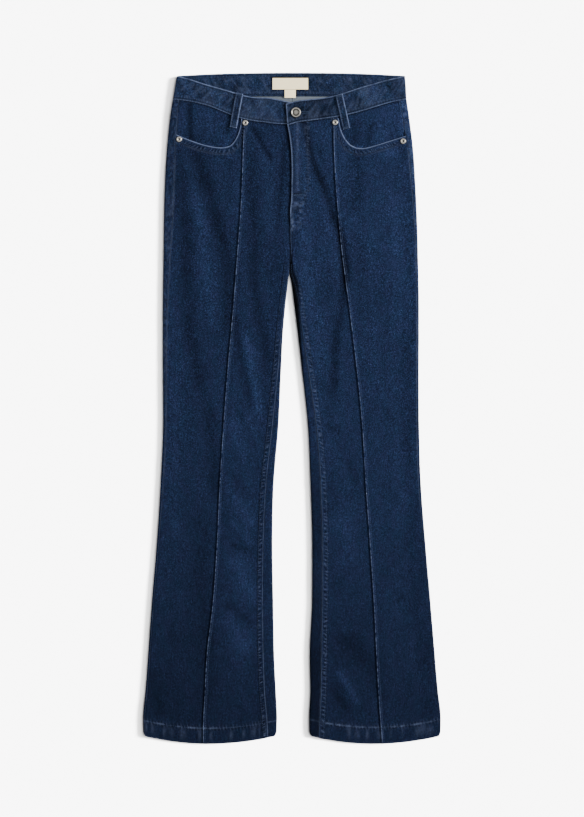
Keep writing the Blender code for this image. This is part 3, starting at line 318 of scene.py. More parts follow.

# The large soft folds of each front: half width, how far it stands out or sinks in, how much
# paler or darker it is painted, as painted light and shade, and then the X and height of each
# point along it.
FOLDS_RIGHT = (
    (12, -0.8, -0.4, -180, 1046, -160, 990, -141, 934, -124, 872, -108, 804, -110, 730, -115, 670),
    (8, -0.5, -0.24, -104, 750, -93, 680, -82, 617, -66, 556),
    (12, -0.8, -0.3, -199, 1030, -191, 970, -186, 906, -179, 827, -180, 759, -174, 691, -163, 634, -146, 556),
    (12, 0.7, 0.18, -168, 965, -155, 850, -144, 770, -134, 690),
    (9.5, -0.6, -0.26, -76, 1020, -70, 957, -67, 900, -65, 838, -68, 782, -53, 713, -45, 651, -48, 600),
    (4, -0.9, -0.52, -72, 1054, -52, 1020, -32, 984), (9, 0.5, 0.1, -48, 1040, -47, 960, -36, 850),
    (4.2, -0.6, -0.28, -11, 1040, -16, 974, -22, 918, -28, 860),
    (8, 0.8, 0.26, -84, 710, -68, 617, -52, 540), (9, 0.7, 0.28, -105, 560, -92, 515, -74, 470),
    (6.5, -0.4, -0.16, -110, 466, -90, 440, -68, 410),
    (12, -0.7, -0.24, -144, 590, -134, 500, -132, 396),
    (9, 0.6, 0.2, -110, 424, -84, 396, -58, 362), (6, 0.6, 0.18, -112, 382, -90, 358, -66, 334),
    (19, 0.6, 0.2, -106, 330, -84, 280, -60, 230), (8, -0.5, -0.2, -118, 244, -92, 222, -64, 198),
    (17, 0.7, 0.2, -122, 222, -98, 186, -72, 146), (6, -0.4, -0.22, -110, 342, -86, 330, -60, 324),
    (15, -0.5, -0.18, -148, 430, -152, 300, -152, 230, -146, 160, -146, 40),
    (13, -0.4, -0.26, -238, 130, -226, 30), (9, 0.4, 0.08, -214, 700, -204, 560, -204, 430),
    (12, 0.4, 0.08, -206, 400, -186, 300, -196, 210), (8, 0.5, 0.1, -96, 1000, -98, 930, -96, 860),
)
FOLDS_LEFT = (
    (6.4, -0.9, -0.7, 10, 1092, 23, 1040, 35, 986, 57, 940, 69, 895, 84, 861, 90, 804, 86, 750),
    (7.5, -0.7, -0.36, 94, 840, 87, 750, 77, 714, 71, 660, 69, 570),
    (17, 0.7, 0.05, 10, 910, 23, 796, 34, 706, 44, 600), (18, -0.3, -0.12, 36, 772, 72, 766),
    (13, -0.6, -0.2, 112, 1076, 111, 997, 111, 952, 100, 890),
    (13, -0.4, -0.12, 106, 880, 112, 800, 120, 700), (9, 0.3, 0.26, 150, 1004, 186, 1002),
    (8, -0.5, -0.18, 94, 490, 108, 436), (7, -0.4, -0.24, 54, 540, 84, 530),
    (19, 0.5, 0.16, 74, 410, 96, 345, 86, 286), (16, -0.6, -0.2, 84, 196, 122, 146, 148, 90),
    (12, -0.4, -0.12, 80, 186, 112, 126), (7, 0.7, 0.34, 70, 128, 92, 96, 114, 62),
    (7, -0.6, -0.22, 64, 96, 96, 50), (8, -0.4, -0.18, 138, 106, 156, 70),
    (17, 0.5, 0.12, 168, 957, 179, 827, 190, 680), (9, -0.4, -0.08, 150, 780, 160, 690, 150, 610),
    (9, 0.5, 0.06, 44, 980, 50, 930, 58, 860), (12, 0.4, 0.08, 170, 520, 186, 430, 180, 340),
    (8, -0.4, -0.1, 60, 470, 62, 420, 54, 380),
)

# Finer creases in each front: the X and height of each end, its half width and its rise.
FINE_CREASES_RIGHT = (
    (-74, 1044, -34, 986, 3.6, -0.75), (-60, 1052, -20, 1010, 3.4, 0.5),
    (-12, 1000, -40, 900, 6, -0.45), (-150, 1000, -120, 880, 9, 0.5),
    (-200, 1010, -168, 960, 6, 0.5), (-186, 862, -120, 812, 7, 0.55),
    (-206, 760, -150, 700, 8, 0.4), (-80, 690, -30, 640, 7, -0.5), (-92, 590, -46, 470, 6, 0.6),
    (-108, 560, -64, 440, 7, -0.4), (-212, 580, -150, 500, 8, 0.5), (-118, 436, -74, 392, 5, 0.6),
    (-120, 388, -68, 346, 5.5, 0.6), (-124, 330, -76, 262, 7, 0.55),
    (-224, 400, -160, 300, 10, 0.4), (-130, 228, -80, 170, 6, 0.5), (-232, 240, -176, 170, 9, 0.45),
    (-112, 150, -64, 90, 7, 0.45),
)
FINE_CREASES_LEFT = (
    (26, 1046, 60, 960, 6, -0.9), (60, 960, 84, 850, 8, -0.55), (36, 900, 30, 700, 9, -0.45),
    (112, 1000, 130, 880, 9, 0.45), (196, 1000, 168, 930, 7, 0.5), (206, 860, 140, 790, 8, 0.45),
    (120, 720, 180, 640, 8, 0.4), (44, 640, 92, 560, 7, 0.5), (132, 630, 186, 534, 7, 0.5),
    (48, 520, 108, 410, 7, 0.55), (150, 470, 210, 380, 9, 0.45), (60, 380, 120, 280, 8, 0.45),
    (160, 290, 222, 210, 9, 0.4), (72, 132, 108, 72, 5, 0.85), (60, 220, 118, 150, 7, 0.45),
    (176, 150, 226, 90, 8, 0.4),
)
# The same on the hidden undersides, where the cloth lifts off the surface in shallow troughs.
BACK_CREASES = (
    (-150, 1010, -90, 940, 9, 0.4), (-60, 960, -20, 850, 8, 0.45), (-190, 880, -110, 800, 10, 0.4),
    (-120, 640, -40, 560, 10, 0.4), (-200, 600, -130, 520, 9, 0.4), (-110, 470, -50, 380, 10, 0.4),
    (-180, 330, -110, 240, 11, 0.4), (-120, 170, -60, 90, 9, 0.4),
)

# Painted light and shade of creases in the pocket facings: their ends, half width, and depth of
# painted shade, which is painted light where it is above zero.
FACING_SHADES = {
    "right": (
        (-173, 1084, -171, 1020, 5, -0.8), (-104, 1072, -109, 1040, 5, -0.6),
        (-140, 1066, -128, 1040, 7, 0.14), (-196, 1066, -190, 1040, 4, 0.2),
    ),
    "left": (
        (133, 1048, 130, 1020, 6, -0.4), (108, 1072, 116, 1030, 14, -0.26),
        (104, 1052, 108, 1024, 5, -0.3), (160, 1066, 150, 1036, 8, 0.14),
        (184, 1070, 186, 1036, 3, 0.3),
    ),
}

# How bright the denim is, by height: right leg outer and inner, left leg inner and outer. The left
# leg's higher values, most of all on its outer side, are painted light, as the light falls from that side.
TONES = (
    (0, 0.56, 0.58, 0.64, 0.68), (60, 0.59, 0.68, 0.68, 0.74), (180, 0.66, 0.92, 0.75, 0.83),
    (420, 0.88, 1.02, 1, 1.05), (600, 0.94, 1.02, 1.08, 1.12), (820, 1, 0.97, 1.16, 1.2),
    (1000, 0.95, 0.96, 1.2, 1.22), (1100, 1.04, 1.08, 1.25, 1.2),
)

# Brightness of the band and facings against the panels', how far the painted shadow round the
# labels goes, and the height above which the strip of the yokes inside the waist is lit; below it
# that strip is painted in shadow.
BAND_TONE = 0.84
FACING_TONE = 1.10
LABEL_SHADOW_REACH = 2.4
STRIP_LIT = 1095.0

# Stitch rows: how far each lies from its edge, the heights of the fly's rows with their number of
# points, the place of the bar tack on the fly, and a step that gives one stitch a line.
INSEAM_ROWS = (1.5, 8.6)
SCOOP_ROWS = (2.0, 9.0)
TUCK_ROW = 1.2
SIDE_ROW = 2.0
BAND_ROW = 2.2
INNER_BAND_ROW = 2.4
LOOP_ROWS = (-3.7, 3.7)
FLY_ROWS = ((1.6, 910.0, 1048.0, 90), (1.4, 830.0, 900.0, 40))
SIDE_ROW_START = {"right": 900.0, "left": 960.0}
FLY_TACK = (10.2, 931.6)
BUTTONHOLE_LEVEL = 8.85
ONE_STITCH = 99.0

# Colours, the contrast of the denim's grain, how much paler its ribs' crests are, as rubbing and
# painted highlight, and how much darker their troughs are, as painted shade.
DENIM_COLOUR = (0.0122, 0.0212, 0.0570)
BAND_COLOUR = (0.0172, 0.0305, 0.0760)
# The pale colour of rubbed places, which the painted highlights use too.
WORN_AND_HIGHLIGHT_COLOUR = (0.165, 0.212, 0.365)
REVERSE_COLOUR = (0.235, 0.275, 0.330)
THREAD_COLOUR = (0.040, 0.062, 0.125)
GRAIN = 0.56
RIB_WEAR_AND_HIGHLIGHT = 0.19
RIB_SHADE = 0.45

# Floor, lights and camera, in metres. Each lamp has the direction that its light comes from, its
# strength, its width in radians, and whether it lights everything, the floor or the labels alone.
FLOOR_LEVEL = -0.0002
FLOOR_REACH = 60.0
FLOOR_COLOUR = (0.8, 0.8, 0.8)
WORLD_LIGHT = 0.55
LAMPS = {
    "key": ((1.0, 0.16, 0.47), 4.12, 0.24, "all"),
    "floor_low": ((1.0, 0.16, 0.425), 55.0, 0.20, "floor"),
    "floor_broad": ((1.0, 0.16, 1.0), 11.5, 1.0, "floor"),
    "label_light": ((0.3, -0.3, 1.0), 7.4, 0.5, "labels"),
}
CAMERA_PLACE = (0.0001, -0.0004, 4.0)
CAMERA_LENS = 103.76


# ---- Curves and noise ----------------------------------------------------------------------

def smooth(table, column, height):
    """Reads a column at heights, on a curve through the rows that never overshoots them."""
    rows = np.array(table)
    at = rows[:, 0]
    values = rows[:, column]
    slopes = np.gradient(values, at)
    height = np.clip(height, at[0], at[-1])
    i = np.clip(np.searchsorted(at, height) - 1, 0, len(at) - 2)
    step = at[i + 1] - at[i]
    rise = values[i + 1] - values[i]
    start = limited(slopes[i] * step, rise)
    end = limited(slopes[i + 1] * step, rise)
    t = (height - at[i]) / step
    curve = (2 * t**3 - 3 * t**2 + 1) * values[i] + (t**3 - 2 * t**2 + t) * start
    return curve + (3 * t**2 - 2 * t**3) * values[i + 1] + (t**3 - t**2) * end


def limited(slope, rise):
    least = np.minimum(np.abs(slope), 3.0 * np.abs(rise))
    return np.where(slope * rise > 0.0, np.copysign(least, rise), 0.0)


def ease(value, start=0.0, reach=1.0):
    """Goes smoothly from 0 at start to 1 at start + reach."""
    t = np.clip((value - start) / reach, 0.0, 1.0)
    return t * t * (3.0 - 2.0 * t)


def bump(value, middle=0.0, half_width=1.0):
    return np.exp(-np.square((value - middle) / half_width))


def ripple(at, period, drift=0.0):
    return np.sin(at / period * TURN + drift)


def unit(values):
    return np.clip(values, 0.0, 1.0)


def mixed(a, b, share):
    return a * (1.0 - share) + b * share


def noise(x, y, size, seed):
    """Smooth noise from -1 to 1, with bumps about size apart."""
    u = np.asarray(x, dtype=float) / size + 17.3 * seed
    v = np.asarray(y, dtype=float) / size + 9.1 * seed
    i, j = np.floor(u), np.floor(v)
    fu, fv = ease(u - i), ease(v - j)

    def corner(a, b):
        s = np.sin(a * 127.1 + b * 311.7 + seed * 74.7) * 43758.5453
        return 2.0 * (s - np.floor(s)) - 1.0

    low = mixed(corner(i, j), corner(i + 1, j), fu)
    high = mixed(corner(i, j + 1), corner(i + 1, j + 1), fu)
    return mixed(low, high, fv)


def lengths_along(line):
    """Distance of each point of a line from its first."""
    return np.concatenate(([0.0], np.cumsum(np.linalg.norm(np.diff(line, axis=0), axis=1))))


def directions(line):
    way = np.gradient(line, axis=0)
    return way / np.linalg.norm(way, axis=1)[:, None]


def graded(near, first, pitch, length):
    """Places from 0 to length: close together at both ends, and a pitch apart between."""
    near = np.array(near)
    return np.concatenate((near, np.arange(first[0], length - first[1], pitch), (length - near)[::-1]))


def resample(points, count):
    line = np.array(points, dtype=float)
    along = lengths_along(line)
    at = np.linspace(0.0, along[-1], count) if np.isscalar(count) else np.array(count) * along[-1]
    return np.stack([np.interp(at, along, line[:, k]) for k in range(line.shape[1])], axis=1)


def rounded(points, passes=3):
    for _ in range(passes):
        points = np.array(points, dtype=float)
        cut = np.empty((2 * len(points), points.shape[1]))
        cut[0], cut[-1] = points[0], points[-1]
        cut[1:-1:2] = 0.75 * points[:-1] + 0.25 * points[1:]
        cut[2:-1:2] = 0.25 * points[:-1] + 0.75 * points[1:]
        points = cut
    return points


def distance_to(line, x, height):
    """Distance from points to a polyline, the nearest place along it, and the side they lie on."""
    x = np.asarray(x, dtype=float)
    height = np.asarray(height, dtype=float)
    best = np.full(x.shape, 1e9)
    along = np.zeros(x.shape)
    side = np.zeros(x.shape)
    reached = 0.0
    for (x0, y0), (x1, y1) in zip(line[:-1], line[1:]):
        dx, dy = x1 - x0, y1 - y0
        length = math.hypot(dx, dy)
        t = np.clip(((x - x0) * dx + (height - y0) * dy) / length**2, 0.0, 1.0)
        gap = np.hypot(x - x0 - t * dx, height - y0 - t * dy)
        near = gap < best
        best = np.where(near, gap, best)
        along = np.where(near, reached + t * length, along)
        side = np.where(near, np.sign(dx * (height - y0) - dy * (x - x0)), side)
        reached += length
    return best, along, side


# ---- The form of the garment ---------------------------------------------------------------

class Leg:
    def __init__(self, name, side, table, creases, fine, folds, band, scoop):
        self.name = name
        self.folds = [(rounded(np.reshape(row[3:], (-1, 2)), 1), *row[:3]) for row in folds]
        self.hem_row = HEM_ROWS[name]
        self.side = side
        self.table = table
        self.creases = creases
        self.fine = fine
        self.band = band
        start, middle, self.scoop_end = scoop
        self.scoop_start = start
        seam = self.read("outer", start) - side * self.read("wrap_out", start)
        first = (float(seam - side * HALF_GAP), start)
        last = (self.scoop_end, float(band_bottom(band, self.scoop_end)) + UNDER_BAND)
        self.scoop = rounded([first, *middle, last])

    def read(self, column, height):
        return smooth(self.table, LEG_COLUMNS.index(column), height)


def level(column, height):
    return smooth(LEVELS, LEVEL_COLUMNS.index(column), height)


def centre(column, height):
    return smooth(CENTRE, CENTRE_COLUMNS.index(column), height)


def fold_radius(height):
    return (level("fold", height) - level("under", height)) / 2.0


def fly_edge(height):
    return centre("fly", height) - FLY_SHIFT * ease((np.asarray(height) - 880.0) / 110.0)


def centre_edge(leg, height):
    if leg.side < 0:
        return fly_edge(height) + centre("lap", height)
    return fly_edge(height) + SEAM_GAP / 2.0


def inner_fold(leg, height):
    leg_part = leg.read("inner", height) + leg.side * HALF_GAP
    return np.where(np.asarray(height) > CROTCH, centre_edge(leg, height), leg_part)


def crotch_fold(height):
    return 1.0 - ease((height - CROTCH) / CROTCH_RISE)


def outseam_x(leg, height):
    return leg.read("outer", height) - leg.side * leg.read("wrap_out", height)


def inseam_x(leg, height):
    return inner_fold(leg, height) + leg.side * leg.read("wrap_in", height)


def crease_rise(creases, x, height):
    total = 0.0
    for x0, height0, x1, height1, half_width, rise in creases:
        dx, dh = x1 - x0, height1 - height0
        length = math.hypot(dx, dh)
        along = ((x - x0) * dx + (height - height0) * dh) / length**2
        across = ((x - x0) * dh - (height - height0) * dx) / length
        total += rise * ease(np.minimum(along, 1.0 - along), 0, CREASE_END) * bump(across / half_width)
    return total


def folded(leg, x, height):
    """Rise of the large folds, and their painted light and shade, which die out towards their ends."""
    rise = shade = 0.0
    uneven = 1.0 - 0.3 * noise(x, height, 19, 12)
    for line, half_width, lift, tone in leg.folds:
        gap, along, _ = distance_to(line, x, height)
        length = float(lengths_along(line)[-1])
        form = ease(np.minimum(along, length - along), 0, 0.18 * length) * bump(gap / half_width) * uneven
        rise = rise + lift * form
        shade = shade + FOLD_SHADE * tone * form
    return rise, shade


def on_fly(x, height, start=FLY_SEWN):
    """Whether a place lies on the fly's double cloth, and how far it is from the outer stitch row."""
    return (height > start) * (x < FLY_FAR), x - j_stitch(height)


def rib_field(leg, x, height):
    """The ribs that the sewing's pull gives the cloth: how many there are up to a point, and their size."""
    seed = 6 if leg.side < 0 else 11
    from_inseam = np.abs(x - inseam_x(leg, height))
    low = 1.0 - ease(height, RIBS_END[leg.name], 70)
    uneven = 0.5 * noise(x * 0.1, height, 14, seed) + 0.5 * noise(x * 0.6, height, 5, seed + 4)
    counts = [(height + RIB_SLANT * from_inseam) / INSEAM_STEP + uneven]
    sizes = [low * bump(from_inseam, 6.2 + 1.2 * noise(0, height, 9, seed + 5), 3)]
    gap, along, _ = distance_to(leg.scoop, x, height)
    near = (height > HIP) * (-leg.side * (x - outseam_x(leg, height)) > 0.0)
    counts.append(along / PUCKER_STEP + 0.12 * gap + 0.9 * noise(along, gap, 10, seed + 1))
    sizes.append(near * bump(gap, 7, 2.8) * (0.9 + 0.5 * noise(along, gap, 11, seed + 6)))
    counts.append(x / PUCKER_STEP + 0.04 * height + 0.45 * noise(x, 0, 34, seed + 2))
    sizes.append(0.5 * bump(leg.hem_row - height, 0, 4.4))
    if leg.side > 0:
        fly, off = on_fly(x, height)
        counts.append(height / 5.4 + 0.05 * off + 0.6 * noise(x * 0.3, height, 13, seed + 3))
        sizes.append(0.55 * fly * bump(off, 0.4, 2.6))
    sizes = np.array(np.broadcast_arrays(*sizes), dtype=float)
    counts = np.array(np.broadcast_arrays(*counts), dtype=float)
    chosen = np.argmax(sizes, axis=0)[None]
    return np.take_along_axis(counts, chosen, 0)[0], np.take_along_axis(sizes, chosen, 0)[0]


def front_top(leg, x, height):
    """Level of the front's outer face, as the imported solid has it, without the tuck."""
    radius = fold_radius(height)
    from_outer = np.abs(x - leg.read("outer", height)) - radius
    from_inner = np.abs(x - inner_fold(leg, height)) - radius
    middle = level("middle", height)
    fold = level("fold", height)
    above = np.asarray(height) > CROTCH
    inner_level = np.where(above, level(f"centre_{leg.name}", height), fold)
    plain = np.where(above, FLY_PLAIN * (1.0 - crotch_fold(height)), 0.0)
    top = middle + (fold - middle) * (1.0 - ease(from_outer, 0, FOLD_REACH))
    top = top + (inner_level - middle) * (1.0 - ease(from_inner, plain, FOLD_REACH))
    inside = ease(np.minimum(from_outer, from_inner), 0, CREASE_MARGIN)
    return top + inside * crease_rise(leg.creases, x, height)


def j_stitch(height):
    """X of the fly's outer stitch row."""
    return np.interp(height, (905.0, 912.0, 922.0, 936.0, 948.0, 1045.0), (0.0, 10.6, 21.4, 25.6, 27.6, 26.1))


def relief(leg, x, height):
    """What the fine form adds to the front's level: creases, felled seams, puckers, hem, fly."""
    seed = 3 if leg.side < 0 else 8
    from_outseam = np.abs(x - outseam_x(leg, height))
    from_inseam = np.abs(x - inseam_x(leg, height))
    inside = ease(np.minimum(from_outseam, from_inseam), 0, 14)
    below = 1.0 - ease(height, CROTCH - 20.0, 30)
    rise = crease_rise(leg.fine, x, height) * (1.0 - 0.35 * noise(x, height, 23, seed))
    rise = rise + folded(leg, x, height)[0] + 0.34 * noise(x, height * 0.6, 46, seed + 1)
    rise = inside * (rise + 0.15 * noise(x, height, 17, seed + 2))

    rise += FELLED_RISE * below * ease((FELLED_WIDTH + 1.2 - from_inseam) / 2.4)
    rise -= 0.3 * below * bump(from_inseam, FELLED_WIDTH, 0.9)
    count, ribbed = rib_field(leg, x, height)
    rise += (0.26 + 0.16 * noise(0, height, 13, seed + 4)) * ripple(count, 1) * ribbed
    drift = 2.0 * noise(x * 0.2, height, 30, seed + 5)
    rise += 0.14 * ripple(height, 7, drift) * bump(from_outseam, 2.4, 2.4)

    hem = leg.hem_row + 1.0 - height
    drift = 1.5 * noise(x, 0, 34, seed + 6) + height * 0.3
    rise += 0.16 * ripple(x, 12.8, drift) * bump(hem, 14, 9) - 0.35 * bump(hem, 1, 0.8)

    gap = distance_to(leg.scoop, x, height)[0]
    near = height > HIP
    rise += near * (0.30 * bump(gap, 5.2, 5.4) - 0.12 * (bump(gap, 2, 0.6) + bump(gap, 9, 0.6)))
    if leg.side > 0:
        fly, off = on_fly(x, height, 900.0)
        lapped = fly * ease(height, 904, 8)
        rise += lapped * (0.40 * ease(0.5 - off / 2.0) - 0.18 * bump(off / 0.7))
        low_fly = bump(height, 915, 22) * bump(x, 9, 11)
        rise += 0.5 * low_fly * noise(x * 0.8, height, 4.4, seed + 11)
        rise += fly * 0.16 * noise(x, height, 8, seed + 9) * ease(-off / 6.0)
    drift = 2.0 * noise(x, 0, 25, seed + 10)
    rise += 0.16 * ripple(x, 6, drift) * bump(band_bottom(leg.band, x) - height, 2.5, 3) * near
    return rise


def tuck_rise(leg, x, height):
    offset = x - leg.read("tuck", height)
    top = band_bottom(leg.band, leg.read("tuck", height)) - height
    form = np.interp(offset, *np.array(TUCK_FORM).T) * ease(top, TUCK_TOP_PLAIN - 4.0, TUCK_TOP_FADE)
    return form * (1.0 + 0.14 * noise(0, height, 31, 5) + 0.08 * noise(0, height, 7, 6))


def face_level(leg, x, height):
    """Level of the finished front at a point well inside its seams."""
    return front_top(leg, x, height) + relief(leg, x, height) + tuck_rise(leg, x, height)


def ring(leg, height, across, from_inner):
    """X, level and outward direction on a leg's tube, at distances round from a fold's apex."""
    radius = fold_radius(height)
    over = across > 0.0
    start = np.where(from_inner, inner_fold(leg, height), leg.read("outer", height))
    opened = from_inner & (height > CROTCH) & ~over
    start = np.where(opened, centre("back_seam", height) + leg.side * HALF_GAP, start)
    inward = np.where(from_inner, leg.side, -leg.side)
    fold = np.where(from_inner, crotch_fold(height), 1.0)
    turn = np.minimum(np.abs(across) / radius, np.pi / 2.0)
    past = np.maximum(np.abs(across) - np.pi * radius / 2.0, 0.0)
    x = start + inward * (radius * (1.0 - np.cos(turn)) + past)
    under = level("under", height)
    flat = np.where(over, front_top(leg, x, height), under + under_relief(leg, x, height))
    way = np.where(over, 1.0, -1.0)
    arc = mixed(flat, under + radius + way * radius * np.sin(turn), fold)
    z = np.where(past > 0.0, flat, arc)
    lean = -inward * np.cos(turn) * fold
    rise = way * (np.sin(turn) * fold + 1.0 - fold)
    size = np.hypot(lean, rise)
    return x, z, lean / size, rise / size


def under_relief(leg, x, height):
    """How far the underside lifts off the surface, in shallow troughs."""
    creases = [(-leg.side * x0, height0, -leg.side * x1, *rest) for x0, height0, x1, *rest in BACK_CREASES]
    outer = np.abs(x - leg.read("outer", height))
    inner = np.abs(x - inner_fold(leg, height))
    soft = 0.12 * (1.0 + noise(x, height, 28, 21 if leg.side < 0 else 27))
    return ease(np.minimum(outer, inner), 6, 20) * (crease_rise(creases, x, height) + soft)


def round_from_fold(distance, radius):
    distance = np.maximum(distance, 0.0)
    turn = np.arccos(np.clip(1.0 - distance / radius, -1.0, 1.0))
    return np.where(distance >= radius, np.pi * radius / 2.0 + distance - radius, radius * turn)


def shaped_for_hem(leg, x, height, tucked_up):
    """X and height with the dip of the hem and its rounded corners."""
    outer = leg.read("outer", height)
    inner = leg.read("inner", height)
    inset = HEM_CORNER * np.maximum(1.0 - height / HEM_CORNER_RISE, 0.0) ** 2
    half = np.abs(outer - inner) / 2.0
    middle = (outer + inner) / 2.0
    x = middle + (x - middle) * (half - inset) / half
    across = (x - outer) / (inner - outer)
    lift = tucked_up + (HEM_DIP - tucked_up) * (1.0 - 4.0 * across * (1.0 - across))
    return x, height + lift * (1.0 - ease(height, HEM_DEPTH, HEM_DIP_END - HEM_DEPTH))


def cloth_at(leg, height):
    return mixed(HEM_CLOTH, CLOTH, ease(height, leg.hem_row + 1.0, 2))


def band_column(table, column):
    rows = np.array(sorted(table, key=lambda row: row[BAND_COLUMNS.index("bottom_x")]))
    return rows[:, BAND_COLUMNS.index(column)]


def band_bottom(table, x):
    """Height of a panel's top edge under the band."""
    return np.interp(x, band_column(table, "bottom_x"), band_column(table, "bottom_height")) - BAND_GAP


def band_level(table, x):
    middles = (band_column(table, "top_x") + band_column(table, "bottom_x")) / 2.0
    return np.interp(x, middles, band_column(table, "level"))


def facing_drop(leg, x, height):
    gap, _, side = distance_to(leg.scoop, x, height)
    outside = np.where(side * -leg.side > 0.0, gap, 0.0)
    return FACING_DROP * (1.0 - ease(outside, FACING_MARGIN, FACING_EASE))


def facing_top(leg, x, height):
    return front_top(leg, x, height) - facing_drop(leg, x, height)


# ---- Meshes --------------------------------------------------------------------------------

def metres(points):
    out = np.array(points, dtype=float).reshape(-1, 3) * MM
    out[:, 1] -= LENGTH * MM / 2.0
    return out


def linked(name, data):
    """A new object in the scene."""
    obj = bpy.data.objects.new(name, data)
    bpy.context.scene.collection.objects.link(obj)
    return obj


def new_object(name, points, faces, material, slot=None, nodes=(), **attributes):
    """One smooth piece on the body, from points in mm, with a float attribute for each name."""
    mesh = bpy.data.meshes.new(name)
    mesh.from_pydata(metres(points).tolist(), [], faces)
    mesh.shade_smooth()
    mesh.materials.append(material)
    for key, values in attributes.items():
        layer = mesh.attributes.new(key, "FLOAT", "POINT")
        layer.data.foreach_set("value", np.asarray(values, dtype=np.float32).ravel())
    obj = linked(name, mesh)
    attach(obj, "root")
    if nodes:
        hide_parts(*nodes)
    return obj


def border_distance(grid):
    """Distance of each point of a grid from its four borders, along the grid's own lines."""
    out = []
    for axis in (0, 1):
        steps = np.linalg.norm(np.diff(grid, axis=axis), axis=2)
        start = np.zeros_like(steps.take([0], axis))
        along = np.concatenate((start, np.cumsum(steps, axis=axis)), axis=axis)
        out += [along, along.take([-1], axis) - along]
    return out


def thinned(count, step):
    return sorted({*range(0, count, step), count - 1})


def wall(name, outer, inner, material, slot, nodes, sides=(1, 1, 1, 1), every=3, reverse=1.0,
         inner_tone=None, **attributes):
    """A thin closed shell with rounded borders: a fine outer grid over a coarser inner one."""
    gap = np.minimum.reduce([gap for gap, used in zip(border_distance(outer), sides) if used])
    inset = unit(1.0 - gap / (np.linalg.norm(outer - inner, axis=2) / 2.0))
    share = np.maximum(np.sqrt(1.0 - inset**2), 0.1)[..., None]
    middle = (outer + inner) / 2.0
    outer = middle + (outer - middle) * share
    inner = middle + (inner - middle) * share
    rows, columns = outer.shape[:2]
    kept_rows = thinned(rows, every)
    kept_columns = thinned(columns, every)
    top = np.arange(rows * columns).reshape(rows, columns)
    low = np.arange(len(kept_rows) * len(kept_columns)).reshape(len(kept_rows), -1) + top.size
    quads = np.stack((top[:-1, :-1], top[:-1, 1:], top[1:, 1:], top[1:, :-1]), axis=-1).reshape(-1, 4)
    under = np.stack((low[:-1, :-1], low[1:, :-1], low[1:, 1:], low[:-1, 1:]), axis=-1).reshape(-1, 4)
    faces = quads.tolist() + under.tolist()
    borders = (
        (kept_columns, ((top[0], low[0], -1), (top[-1], low[-1], 1))),
        (kept_rows, ((top[:, 0], low[:, 0], 1), (top[:, -1], low[:, -1], -1))),
    )
    for kept, pair in borders:
        for k, (a, b) in enumerate(zip(kept[:-1], kept[1:])):
            for fine, coarse, way in pair:
                faces.append(fine[a:b + 1][::way].tolist() + coarse[k:k + 2][::-way].tolist())
    subset = np.ix_(kept_rows, kept_columns)
    points = np.concatenate((outer.reshape(-1, 3), inner[subset].reshape(-1, 3)))
    a, b, c = (points[quads[:, k]] for k in range(3))
    if (np.cross(b - a, c - a) * (middle - inner).reshape(-1, 3)[quads[:, 0]]).sum() < 0.0:
        faces = [face[::-1] for face in faces]
    values = {}
    for key, value in attributes.items():
        value = np.broadcast_to(value, (rows, columns))
        other = inner_tone if key == "tone" and inner_tone is not None else value
        values[key] = np.concatenate((value.ravel(), other[subset].ravel()))
    values["reverse"] = np.repeat((0.0, reverse), (top.size, low.size))
    return new_object(name, points, faces, material, slot, nodes, **values)


def grid_points(x, height, z):
    return np.stack(np.broadcast_arrays(x, height, z), axis=-1).astype(float)


# ---- Colour that follows the garment ---------------------------------------------------------

def tone_at(x, height):
    outer_share = ease(np.abs(x), 60, 110)
    columns = np.array(TONES).T
    right_outer, right_inner, left_inner, left_outer = (np.interp(height, columns[0], c) for c in columns[1:])
    right = mixed(right_inner, right_outer, outer_share)
    left = mixed(left_inner, left_outer, outer_share)
    # The left leg comes out paler than the right, most of all on its outer side: painted light.
    return mixed(right, left, ease(x, -12, 24))


